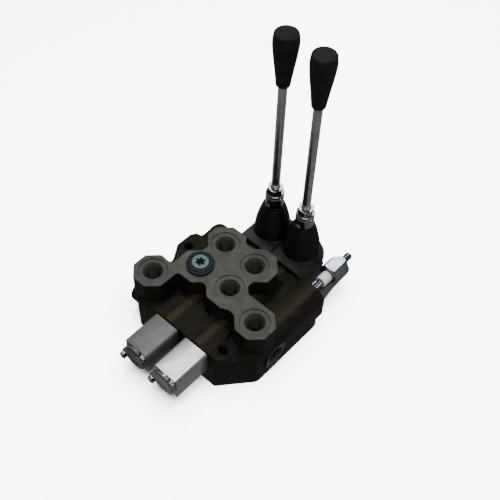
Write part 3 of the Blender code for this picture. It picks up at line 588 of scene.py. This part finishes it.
def block_cutters():
    """Everything bored into the casting: ports, spool bores, galleries, mounting holes and screw holes."""
    shapes = []
    for port, (x, y, _) in PORTS.items():
        shapes.append(moved(port_cutter(68 if port in "PT" else 52), (x, y, TOP_Z)))
    shapes.append(moved(port_cutter(31), (-96.8, SIDE_PORT_Y["P"], SIDE_PORT_Z), "-X"))
    shapes.append(moved(port_cutter(29), (84.6, SIDE_PORT_Y["T"], SIDE_PORT_Z), "+X"))
    for x in SPOOL_X.values():
        shapes.append(moved(spool_bore(), (x, 0, SPOOL_Z), "+Y"))
    p_x, p_y, _ = PORTS["P"]
    shapes.append(moved(rod(6.1, 132.5), (p_x, 0, SPOOL_Z), "+X"))
    shapes.append(moved(rod(7.1, 74), (p_x, p_y, SPOOL_Z + 0.2), "+Y"))
    for y in (-44.0, 40.0):
        shapes.append(moved(rod(6.1, 99.5), (-34, y, SPOOL_Z), "+X"))
    shapes.append(moved(rod(5.1, 24), (65.5, 40.0, CARRY[1])))
    for x, y in MOUNT_HOLES:
        mouth = 56.4 if x > 0 else 53.8
        profile = [(0, -2), (5.5, -2), (5.5, mouth), (6.4, mouth + 0.9), (6.4, 90), (0, 90)]
        shapes.append(moved(turned(profile, 48), (x, y, 0)))
    shapes.append(moved(rod(6.95, 73), (RELIEF[0], 61, RELIEF[1]), "-Y"))
    shapes.append(moved(rod(9.35, 97), (CARRY[0], 61, CARRY[1]), "-Y"))
    for x in SPOOL_X.values():
        for along, up, _ in CAP_SCREWS:
            shapes.append(moved(rod(2.85, 14, 24), (x + along, FRONT_Y - 1, SPOOL_Z + up), "+Y"))
        for along, z, _ in box_screws_at(x):
            shapes.append(moved(rod(3.35, 9, 24), (x + along, BACK_Y + 1.5, z), "-Y"))
    return shapes


def chamfered_top(mesh, z, width):
    """Cuts the casting flat at this height and breaks the edge."""
    shape = bmesh.new()
    shape.from_mesh(mesh)
    every = shape.verts[:] + shape.edges[:] + shape.faces[:]
    cut = bmesh.ops.bisect_plane(
        shape, geom=every, dist=1e-5, plane_co=(0, 0, z), plane_no=(0, 0, 1), clear_outer=True
    )
    rim = [item for item in cut["geom_cut"] if isinstance(item, bmesh.types.BMEdge)]
    bmesh.ops.holes_fill(shape, edges=rim)
    every = shape.verts[:] + shape.edges[:] + shape.faces[:]
    bmesh.ops.bisect_plane(shape, geom=every, dist=1e-5, plane_co=(0, 0, z - width), plane_no=(0, 0, 1))
    shape.normal_update()
    shifts = {}
    for vert in shape.verts:
        if abs(vert.co.z - z) < 1e-4:
            out = Vector((0, 0, 0))
            for face in vert.link_faces:
                if face.normal.z < 0.7:
                    out += Vector((face.normal.x, face.normal.y, 0)).normalized()
            if out.length > 0.01:
                shifts[vert] = out.normalized() * -width
    for vert, shift in shifts.items():
        vert.co += shift
    bmesh.ops.triangulate(shape, faces=shape.faces)
    shape.to_mesh(mesh)
    shape.free()


def block_look(mesh):
    """Gives each face of the block its finish: cast skin, milled face or bore."""
    for look in ("cast", "milled", "bore"):
        mesh.materials.append(LOOKS[look])
    milled, bore = 1, 2
    mouth, threads = 17.6, 11.2
    for face in mesh.polygons:
        centre, normal = face.center, face.normal
        near = min(math.hypot(centre.x - x, centre.y - y) for x, y, _ in PORTS.values())
        t_side = math.hypot(centre.y - SIDE_PORT_Y["T"], centre.z - SIDE_PORT_Z)
        p_side = math.hypot(centre.y - SIDE_PORT_Y["P"], centre.z - SIDE_PORT_Z)
        if centre.z > TOP_Z - 1.2 and normal.z > 0.5:
            face.material_index = milled
        elif near < threads and 30 < centre.z < TOP_Z - 1:
            face.material_index = bore
        elif centre.x > 82.5 and t_side < mouth and normal.x > 0.5:
            face.material_index = bore
        elif centre.x < -95 and p_side < mouth and normal.x < -0.5:
            face.material_index = bore
        elif (centre.x > 55 and t_side < threads) or (centre.x < -66 and p_side < threads):
            face.material_index = bore
        elif centre.z < 0.2 or (normal.y > 0.9 and centre.y > 59.5):
            face.material_index = milled


def block():
    shapes = [prism(base_outline(), -4, 53.0), prism(deck_outline(), 45.0, TOP_Z + 6)]
    for x in SPOOL_X.values():
        shapes.append(moved(rod(19.0, BACK_Y - FRONT_Y + 3), (x, FRONT_Y + 1.2, SPOOL_Z), "+Y"))
    shapes += [front_shelf(), box((-46.0, 40.0, 31.5), (47.0, BACK_Y + 4, 60.0))]
    shapes.append(gallery_hump(37.0, 84.7, 62.3, -40.0, BACK_Y + 5))
    shapes.append(gallery_hump(-62.0, -90.0, 58.0, -34.0, BACK_Y - 6))
    shapes += [lug_pad(), shelf_wedge()]
    for x, y in MOUNT_HOLES:
        shapes.append(moved(rod(12.5, 58), (x, y, -4)))
    shapes.append(moved(rod(17.8, 22), (-98.0, SIDE_PORT_Y["P"], SIDE_PORT_Z), "+X"))
    shapes.append(moved(rod(17.8, 22), (87.0, SIDE_PORT_Y["T"], SIDE_PORT_Z), "-X"))
    shapes.append(end_boss())
    obj = cast("block", shapes, 0.85, 9)
    # The machined faces: underside, ends, back, the seat of the lever boxes and the foot of the end boss
    combine(obj, "DIFFERENCE", [
        box((-200, -200, -20), (200, 200, 0)),
        box((85.0, -200, -20), (120, 35, 120)),
        box((-120, -200, -20), (-97.0, 200, 120)),
        box((-200, 60.0, -20), (200, 90, 120)),
        box((-60.0, BACK_Y, -20), (50.0, 90, 120)),
        box((40, BACK_Y, -20), (200, 90, 9.0)),
    ])
    chamfered_top(obj.data, TOP_Z, 0.45)
    combine(obj, "DIFFERENCE", block_cutters())
    obj.data.materials.clear()
    block_look(obj.data)
    done(obj, None, replaces=["body_casting"], sharp=40)
    # Flat shading keeps the casting's slanted normals off the milled deck
    for face in obj.data.polygons:
        if face.material_index == 1 and face.normal.z > 0.999:
            face.use_smooth = False


# ---------------------------------------------------------------- spring caps


def socket_screw(name, node, radius, head, height, length, at, direction):
    """A socket head screw with a knurled head. Its origin is under the head."""
    knurls = 72
    corners = [(0, -height, 0), (head - 0.1, -height, 0.7), (head, -height + 0.9, 0), (head, -0.2, 0)]
    corners += [(head - 0.2, 0, 0), (radius, 0, 0.2), (radius, length, 0), (0, length, 0)]
    shape = lathe(corners, knurls)
    for vert in shape.verts:
        reach = math.hypot(vert.co.x, vert.co.y)
        if reach > head - 0.05 and -height + 0.8 < vert.co.z < -0.1:
            step = round(math.atan2(vert.co.y, vert.co.x) / (math.tau / knurls))
            if step % 2:
                vert.co.x *= 0.965
                vert.co.y *= 0.965
    obj = solid(name, shape)
    combine(obj, "DIFFERENCE", [moved(prism(polygon(6, head), 0, 3.4), (0, 0, -height - 0.6))])
    obj.data.transform(Matrix.Translation(at) @ TURN_TO[direction])
    done(obj, "zinc", replaces=[node])


def spring_cap(number):
    x = SPOOL_X[number]
    start, end, half = FRONT_Y - 0.3, CAP_END_Y, 17.25
    low_z, high_z = SPOOL_Z - 17, SPOOL_Z + 17
    corners = [
        (x - half, -high_z, 2.6), (x + half, -high_z, 2.6), (x + half, -low_z, 3.2), (x - half, -low_z, 3.2),
    ]
    outline = rounded(corners, steps=6)
    obj = solid(f"cap_{number}", prism(outline, 0, start - end), (0, end, 0), "+Y")
    (front_along, front_up, _), (ear_along, ear_up, _) = CAP_SCREWS
    front_x, front_z = x + front_along, SPOOL_Z + front_up
    ear_x, ear_z = x + ear_along, SPOOL_Z + ear_up
    disc = [(0, -3, 0), (15.8, -3, 0), (15.8, 4.2, 1.2), (14.4, 5.3, 0.5), (9.0, 5.3, 0.4), (8.4, 4.8, 0.4)]
    disc = moved(lathe([*disc, (0, 4.8, 0)]), (x, end, SPOOL_Z), "-Y")
    ear = lathe([(0, 0, 0), (6, 0, 0), (6, 49.7, 0.8), (0, 49.7, 0)], 64)
    combine(obj, "UNION", [disc, moved(ear, (ear_x, start, ear_z), "-Y")])
    seat = lathe([(0, 0, 0), (5.4, 0, 0.5), (5.4, 8, 0), (0, 8, 0)])
    cuts = [
        moved(rod(13.0, start - end - 3.5), (x, start + 1, SPOOL_Z), "-Y"),
        moved(seat, (front_x, end, front_z), "-Y"),
        moved(rod(2.85, 60, 32), (front_x, start + 1, front_z), "-Y"),
        moved(rod(2.85, 60, 32), (ear_x, start + 1, ear_z), "-Y"),
    ]
    for z in (high_z, low_z):
        cuts.append(box((x - 11.0, end - 2, z - 0.55), (x + 4.0, end + 2.2, z + 0.55)))
    combine(obj, "DIFFERENCE", cuts)
    bevelled(obj, 0.45, 3, 35)
    # Each cap takes its own lit or shaded copy of the aluminium
    done(obj, f"aluminium_painted_light_{number}", replaces=[f"spring_cap_{number}"])


def cap_screws():
    places = [(x + along, SPOOL_Z + up, seat) for x in SPOOL_X.values() for along, up, seat in CAP_SCREWS]
    for number, (x, z, seat) in enumerate(places, start=1):
        name, node = f"cap_screw_{number}", f"spring_cap_screw_{number}"
        socket_screw(name, node, 2.5, 4.4, 5.0, FRONT_Y + 10 - seat, (x, seat - 0.3, z), "+Y")


# ---------------------------------------------------------------- lever boxes and levers


def lever_box(number):
    x = SPOOL_X[number]
    side = math.copysign(1, x)
    start, far = BACK_Y + 0.3, 116.5
    root = start - 5
    layers = []
    for inset, z in ((0, 22.0), (0, 60.0), (4.5, 68.0)):
        outer, end = side * (26.0 - inset), far - inset / 3
        corners = [(-side * 22.6, root, 0), (outer, root, 3), (outer, end, 22), (-side * 22.6, end, 4)]
        if side < 0:
            corners.reverse()
        layers.append(([(x + along, y) for along, y in rounded(corners, steps=10)], z))
    turret = moved(rod(22.4, 6), (x, LEVER_Y, 65.0))
    obj = cast(f"box_{number}", [loft(layers), turret], 0.8, 5)
    cuts = [
        box((x - 60, LEVER_Y - 60, 70.0), (x + 60, LEVER_Y + 60, 90)),
        box((x - 60, 0, 0), (x + 60, start, 90)),
        box((x - 15.5, start - 2, 30.0), (x + 15.5, 112.0, 63.0)),
        moved(rod(18.0, 20), (x, LEVER_Y, 60.0)),
        moved(rod(3.8, 60, 32), (x - 30, LEVER_Y, PIVOT_Z), "+X"),
    ]
    for along, z, seat in box_screws_at(x):
        cuts.append(moved(rod(3.35, 80, 32), (x + along, start - 2, z), "+Y"))
        cuts.append(moved(rod(5.8, 30, 48), (x + along, seat, z), "+Y"))
    combine(obj, "DIFFERENCE", cuts)
    done(obj, "box", replaces=[f"lever_box_{number}"], sharp=40)
    shape = lathe([(0, 0, 0), (3.5, 0, 0.5), (3.5, 43.5, 0.5), (0, 43.5, 0)], 48)
    low = min(x - side * 22.0, x + side * 21.5)
    pin = solid(f"pin_{number}", shape, (low, LEVER_Y, PIVOT_Z), "+X")
    done(pin, "steel", replaces=[f"pivot_pin_{number}"])


def lever_box_screws():
    places = [(x + along, z, seat) for x in SPOOL_X.values() for along, z, seat in box_screws_at(x)]
    for number, (x, z, seat) in enumerate(places, start=1):
        name, node = f"box_screw_{number}", f"lever_box_screw_{number}"
        socket_screw(name, node, 3.0, 5.0, 6.0, seat - BACK_Y + 7, (x, seat + 0.3, z), "-Y")


def bellows(number):
    """Eleven rings on a bell-shaped rubber boot."""
    x = SPOOL_X[number]
    low, high = BOOT_Z
    folds, steps, foot_radius, neck_radius = 11, 8, 22.6, 12.9
    depth, wall, bore = 2.1, 1.3, 11.35
    outer = [(18.6, low), (22.2, low), (22.7, low + 0.4), (22.7, low + 1.6), (22.0, low + 2.2)]
    inner = [(17.4, low + 0.1)]
    for fold in range(folds):
        for step in range(steps):
            share = (fold + step / steps) / folds
            z = low + 2.4 + (high - 3.2 - low - 2.4) * share
            bell = foot_radius + (neck_radius - foot_radius) * ((z - low) / (high - low)) ** 1.6
            lift = math.sqrt(abs(math.sin(math.pi * step / steps)))
            outer.append((bell - depth + depth * lift, z))
            inner.append((max(bell - depth - wall + 1.3 * lift, bore), z))
    outer += [(12.2, high - 3.1), (13.0, high - 2.6), (13.15, high - 1.2), (12.8, high - 0.3), (12.2, high)]
    inner += [(bore, high - 2.0), (bore, high)]
    shape = turned(outer + inner[::-1], 72, closed=True)
    obj = solid(f"boot_{number}", shape, (x, LEVER_Y, 0))
    done(obj, "rubber", None, [f"bellows_{number}"], sharp=50)
    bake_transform(obj)


def hex_nut(name, across, low, high, bore, chamfer=0.9):
    """A hexagon with turned chamfers at both ends, a bore with a broken edge, along +Z."""
    corner = across / 2 / math.cos(math.pi / 6)
    obj = solid(name, prism(polygon(6, across), low, high))
    face, rim = across / 2 * 0.97, corner + 0.05
    barrel = [(0, low), (face, low), (rim, low + chamfer), (rim, high - chamfer), (face, high), (0, high)]
    combine(obj, "INTERSECT", [turned(barrel)])
    hole = [(0, low - 1), (bore + 1.2, low - 1), (bore + 0.5, low), (bore, low + 0.6)]
    hole += [(bore, high - 0.6), (bore + 0.5, high), (bore + 1.2, high + 1), (0, high + 1)]
    combine(obj, "DIFFERENCE", [turned(hole, 64)])
    return bevelled(obj, 0.18, 2, 28)


def lever_hub(number):
    """The sleeve that carries the rod, with its pivot barrel and the ball end that drives the spool."""
    corners = [(0, 0, 0), (11, 0, 0.5), (11, 67.2, 0.3), (10.1, 67.9, 0.3), (10.1, 69.1, 0.3)]
    corners += [(10.9, 69.8, 0.3), (10.9, 71.7, 0.6), (9.6, 72.5, 0.3), (0, 72.5, 0)]
    hub = solid(f"hub_{number}", lathe(corners))
    finger = turned([(0, -4), (3.8, -4), (2.8, -13.5), (2.8, -15.5), (0, -15.5)], 48)
    radius, centre, steps = 4.6, -18.5, 24
    angles = [math.pi * step / steps for step in range(steps + 1)]
    ball = turned([(radius * math.sin(angle), centre + radius * math.cos(angle)) for angle in angles], 48)
    barrel = moved(lathe([(0, 0, 0), (8, 0, 0.5), (8, 30, 0.5), (0, 30, 0)]), (-15, 0, 0), "+X")
    combine(hub, "UNION", [barrel, finger, ball])
    screw_hole = lathe([(0, 0, 0), (2.8, 0, 0), (2.8, 5.2, 0), (3.6, 6.2, 0), (3.6, 20, 0), (0, 20, 0)], 48)
    combine(hub, "DIFFERENCE", [
        moved(rod(3.8, 60), (-30, 0, 0), "+X"),
        moved(rod(5.3, 40), (0, 0, 53)),
        moved(screw_hole, (0, -5, 56.5), "-Y"),
    ])
    return hub


def lever(number):
    x = SPOOL_X[number]
    body = f"lever_{number}"
    hub = lever_hub(number)
    hub.data.transform(Matrix.Translation((x, LEVER_Y, PIVOT_Z)))
    done(hub, "zinc", body, [f"lever_hub_{number}"], sharp=30)

    screw = [(0, 0, 0), (2.5, 0, 0.3), (2.5, 5.6, 0), (3.4, 5.6, 0.2)]
    screw += [(3.4, 6.6, 0.4), (2.4, 7.9, 0.4), (0, 8.4, 0)]
    dome = solid(f"set_screw_{number}", lathe(screw, 64))
    combine(dome, "DIFFERENCE", [prism(polygon(6, 2.5), 6.6, 9.5)])
    dome.data.transform(Matrix.Translation((x, LEVER_Y - 5.6, 118.5)) @ TURN_TO["-Y"])
    done(dome, "zinc", body, [f"hub_set_screw_{number}"])

    nut = hex_nut(f"rod_nut_{number}", 17.0, 0, 8.0, 5.25)
    nut.data.transform(Matrix.Translation((x, LEVER_Y, 134.8)))
    done(nut, "zinc", body, [f"lever_lock_nut_{number}"])

    length = KNOB_Z + 40 - ROD_Z
    profile = [(0, 0), (4.0, 0)] + thread(4.95, 4.35, 0.6, 33.0, 1.5) + [(4.6, 33.4), (5.0, 34.0)]
    profile += [(5.0, length - 0.8), (4.2, length), (0, length)]
    made = solid(f"rod_{number}", turned(profile, 72), (x, LEVER_Y, ROD_Z))
    done(made, "chrome", body, [f"lever_rod_{number}"])
    knob(number)


def smooth_line(points, steps=6):
    """A Catmull-Rom curve through (radius, z) points."""
    made = []
    for index in range(len(points) - 1):
        a, b = points[max(index - 1, 0)], points[index]
        c, d = points[index + 1], points[min(index + 2, len(points) - 1)]
        for step in range(steps):
            t = step / steps
            made.append(tuple(
                0.5 * (
                    2 * q + (r - p) * t + (2 * p - 5 * q + 4 * r - s) * t * t
                    + (3 * q - p - 3 * r + s) * t**3
                )
                for p, q, r, s in zip(a, b, c, d)
            ))
    return made + [points[-1]]


def knob(number):
    x = SPOOL_X[number]
    side = smooth_line([(7.7, 1.6), (8.9, 12), (11.2, 29), (12.75, 41.5), (13.4, 48.6)])
    seam = [(13.15, 48.9), (13.15, 49.3), (13.55, 49.6)]
    shoulder = smooth_line([(13.6, 51.5), (13.45, 56), (12.75, 61.4)], 4)
    rim = [(12.55, 62.3), (12.05, 62.95), (11.4, 63.3), (10.6, 63.4), (10.4, 63.15), (10.1, 63.1)]
    dish = [(6.0, 62.95), (0.9, 62.85), (0, 62.85)]
    foot = [(5.35, 0.3), (5.7, 0.0), (6.5, 0.1), (7.2, 0.6)]
    inside = [(0, 41), (5.3, 41)]
    shape = turned(inside + foot + side + seam + shoulder + rim + dish)
    obj = solid(f"grip_{number}", shape, (x, LEVER_Y, KNOB_Z))
    mesh = obj.data
    for look in ("plastic", "plastic_matt"):
        mesh.materials.append(LOOKS[look])
    for face in mesh.polygons:
        face.material_index = int(face.normal.z > 0.9 and face.center.z > KNOB_Z + 62.7)
    done(obj, None, f"lever_{number}", [f"knob_{number}"])


# ---------------------------------------------------------------- plugs and relief valve


def port_plug():
    x, y, _ = PORTS["A1"]
    seat = TOP_Z - 1.0
    seal = [(10.8, 0.1), (11.2, 0.0), (15.0, 0.0), (15.25, 0.3)]
    seal += [(15.25, 1.3), (15.0, 1.6), (11.2, 1.6), (10.8, 1.4)]
    ring = solid("plug_seal", turned(seal, closed=True), (x, y, seat + 0.3))
    done(ring, "blue_zinc", replaces=["port_plug_seal"])
    profile = [(0, -14), (8.4, -14)] + thread(9.15, 8.5, -13.6, -1.6, PORT_PITCH)
    profile += [(8.6, -0.9), (8.6, 0.0), (15.4, 0.0), (15.8, 0.4), (15.8, 3.3), (15.55, 3.7), (14.75, 4.45)]
    profile += [(14.3, 4.6), (11.3, 4.6), (11.0, 4.4), (10.0, 4.4), (9.7, 4.6), (0, 4.6)]
    obj = solid("plug", turned(profile))
    socket = [moved(rod(4.35, 16), (0, 0, -6))]
    for lobe in range(6):
        turn = math.tau * lobe / 6
        socket.append(moved(rod(1.7, 16, 32), (4.5 * math.cos(turn), 4.5 * math.sin(turn), -6)))
    combine(obj, "DIFFERENCE", socket)
    bevelled(obj, 0.15, 2, 35)
    obj.data.transform(Matrix.Translation((x, y, seat + 2.2)))
    done(obj, "blue_zinc", replaces=["port_plug"])


def relief_valve():
    """The adjusting screw, the nylon collar, the long hexagon and the jam nut, all along +Y."""
    x, z = RELIEF
    tip = 96.0
    profile = [(0, 0), (4.4, 0), (4.4, 3), (3.9, 3.2), (3.9, tip - 21.2), (4.1, tip - 20.6)]
    profile += thread(4.6, 4.05, tip - 20.4, tip - 1.2, 1.25)
    profile += [(4.3, tip - 0.8), (3.9, tip - 0.1), (3.7, tip), (0, tip)]
    screw = solid("relief_screw", turned(profile, 64))
    combine(screw, "DIFFERENCE", [prism(polygon(6, 4.0), tip - 4, tip + 2)])
    screw.data.transform(Matrix.Translation((x, 36.0, z)) @ TURN_TO["+Y"])
    done(screw, "zinc", "relief_screw", ["relief_adjusting_screw"])

    collar = [(4.25, 0.2), (4.6, 0), (6.4, 0), (7.0, 0.6), (7.0, 4.6), (6.75, 4.9)]
    collar += [(6.75, 5.5), (7.0, 5.8), (7.0, 13.8), (6.4, 14.4), (4.6, 14.4), (4.25, 14.2)]
    made = solid("relief_collar_nylon", turned(collar, 72, closed=True), (x, 75.35, z), "+Y")
    done(made, "nylon", replaces=["relief_collar"])

    for name, node, across, low, length, bore in (
        ("relief_hexagon", "relief_lock_nut", 24.0, 90.1, 21.2, 4.2),
        ("relief_jam", "relief_jam_nut", 17.0, 111.6, 6.5, 4.9),
    ):
        nut = hex_nut(name, across, 0, length, bore, 1.3)
        nut.data.transform(Matrix.Translation((x, low, z)) @ TURN_TO["+Y"])
        done(nut, "zinc", replaces=[node])


def carry_over():
    profile = [(0, 30, 0), (5.2, 30, 0), (5.2, -34, 0), (8.6, -34, 0.5), (9.0, -33, 0), (9.0, -1.2, 0)]
    profile += [(8.4, -1, 0), (8.4, 0, 0), (12.2, 0, 0.3), (12.6, 0.5, 0.3), (11.3, 12, 2), (8.2, 36, 4)]
    profile += [(7.8, 63.5, 1.5), (6.4, 68.6, 1.5), (3.2, 71.0, 1.0), (0, 71.3, 0)]
    made = solid("tank_plug", lathe(profile, 96, 4), (CARRY[0], 60.3, CARRY[1]), "+Y")
    done(made, "dull_zinc", replaces=["carry_over_plug"])


# ---------------------------------------------------------------- springs, and what shows as packed


def spring(name, coil, wire, turns, x, z, low, high):
    """A round-wire spring along Y, from low to high."""
    shape = bmesh.new()
    steps, sides = 28, 10
    rise = high - low - 2 * wire
    up = Vector((0, 0, 1))
    around = [math.tau * side / sides for side in range(sides)]
    sections = []
    for step in range(turns * steps + 1):
        angle = math.tau * step / steps
        out = Vector((math.cos(angle), math.sin(angle), 0))
        centre = out * coil + up * (wire + rise * step / (turns * steps))
        spots = [centre + wire * (out * math.cos(a) + up * math.sin(a)) for a in around]
        sections.append([shape.verts.new(spot) for spot in spots])
    for near, far in zip(sections, sections[1:]):
        for side in range(sides):
            shape.faces.new((near[side - 1], near[side], far[side], far[side - 1]))
    shape.faces.new(sections[0])
    shape.faces.new(sections[-1])
    bmesh.ops.recalc_face_normals(shape, faces=shape.faces)
    obj = solid(f"{name}_wire", shape, (x, low, z), "+Y")
    done(obj, "spring", replaces=[name], sharp=60)
    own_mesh(obj)


def springs():
    for number, x in SPOOL_X.items():
        spring(f"centring_spring_{number}", 9.6, 1.3, 5, x, SPOOL_Z, -117.7, -94.3)
    spring("relief_spring", 3.4, 0.8, 5, RELIEF[0], RELIEF[1], 5.7, 35.7)
    spring("back_pressure_spring", 4.0, 0.8, 6, CARRY[0], CARRY[1], 30.3, 90.0)


def inner_nodes():
    """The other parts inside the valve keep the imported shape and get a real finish."""
    finishes = {"bright_steel": "steel", "black_rubber": "rubber", "zinc_steel": "zinc"}
    slots = {row["node"]: row["material_slot"] for row in frame["record"]["subparts"]}
    for name, obj in frame["nodes"].items():
        if obj.hide_render:
            continue
        obj.data.materials.clear()
        obj.data.materials.append(LOOKS[finishes[slots[name]]])


# ---------------------------------------------------------------- studio


def softbox(name, at, size, power, colour=(1, 1, 1)):
    """A rectangular lamp that faces the valve. Its lengths are in metres."""
    data = bpy.data.lights.new(name, "AREA")
    data.shape = "RECTANGLE"
    data.size, data.size_y = size
    data.energy = power
    data.color = colour
    obj = bpy.data.objects.new(name, data)
    bpy.context.scene.collection.objects.link(obj)
    obj.location = at
    obj.rotation_mode = "QUATERNION"
    obj.rotation_quaternion = (Vector((0, 0, 0.06)) - Vector(at)).to_track_quat("-Z", "Y")
    return obj


def backdrop():
    """A white floor and a curved wall that only the camera sees, with a lamp that lights only them."""
    floor = link("floor", mesh_of(box((-4000, -4000, -30), (4000, 4000, -0.05)), "floor"))
    bend = rounded([(2500.0, -0.3, 0), (3800.0, -0.3, 1200), (3800.0, 4000.0, 0)], steps=32)
    profile = bend + [(3830.0, 4000.0), (3830.0, -40.0), (2500.0, -40.0)]
    wall = link("wall", mesh_of(turned(profile, 128, closed=True), "wall"))
    paper = surface(
        "floor_paper", (0.88, 0.88, 0.88), (0.90, 0.90, 0.90), 0.0, (0.7, 0.8), 1.5, 0.01,
        patch=300.0, specular=0.1,
    )
    lit = bpy.data.collections.new("backdrop_lit")
    for surround in (floor, wall):
        surround.data.transform(Matrix.Scale(MM, 4))
        surround.data.materials.append(paper)
        surround.visible_diffuse = False
        surround.visible_glossy = False
        lit.objects.link(surround)
    wall.data.shade_smooth()
    wall.visible_shadow = False
    lamp = softbox("backdrop", (0.2, 0.1, 2.6), (2.4, 2.4), 800.0)
    lamp.light_linking.receiver_collection = lit


def camera():
    """The camera of the photograph, worked out from the block's edges and the ports' circles."""
    obj = bpy.data.objects.new("camera", bpy.data.cameras.new("camera"))
    bpy.context.scene.collection.objects.link(obj)
    obj.data.sensor_width = 36.0
    obj.data.lens = 56.45
    obj.matrix_world = Matrix((
        (0.7387, -0.5428, 0.3996, 0.3560),
        (0.6736, 0.5729, -0.4670, -0.3951),
        (0.0246, 0.6141, 0.7888, 0.8096),
        (0, 0, 0, 1),
    ))
    bpy.context.scene.camera = obj


def studio():
    softbox("key", (-0.50, 0.33, 1.45), (0.3, 0.3), 9.0)
    softbox("window", (-0.50, 1.05, 1.45), (0.55, 0.55), 10.0, (0.85, 0.94, 1.0))
    softbox("overhead", (0.35, -0.35, 2.2), (1.4, 1.4), 16.0)
    softbox("side", (1.25, 0.55, 0.75), (0.22, 0.9), 2.6)
    backdrop()
    world = bpy.data.worlds.new("studio")
    world.use_nodes = True
    background = world.node_tree.nodes["Background"]
    background.inputs["Color"].default_value = (0.92, 0.95, 1.0, 1.0)
    background.inputs["Strength"].default_value = 0.40
    bpy.context.scene.world = world
    camera()


block()
cap_screws()
lever_box_screws()
port_plug()
relief_valve()
carry_over()
for number in SPOOL_X:
    spring_cap(number)
    lever_box(number)
    bellows(number)
    lever(number)
springs()
inner_nodes()
studio()

bpy.context.view_layer.update()
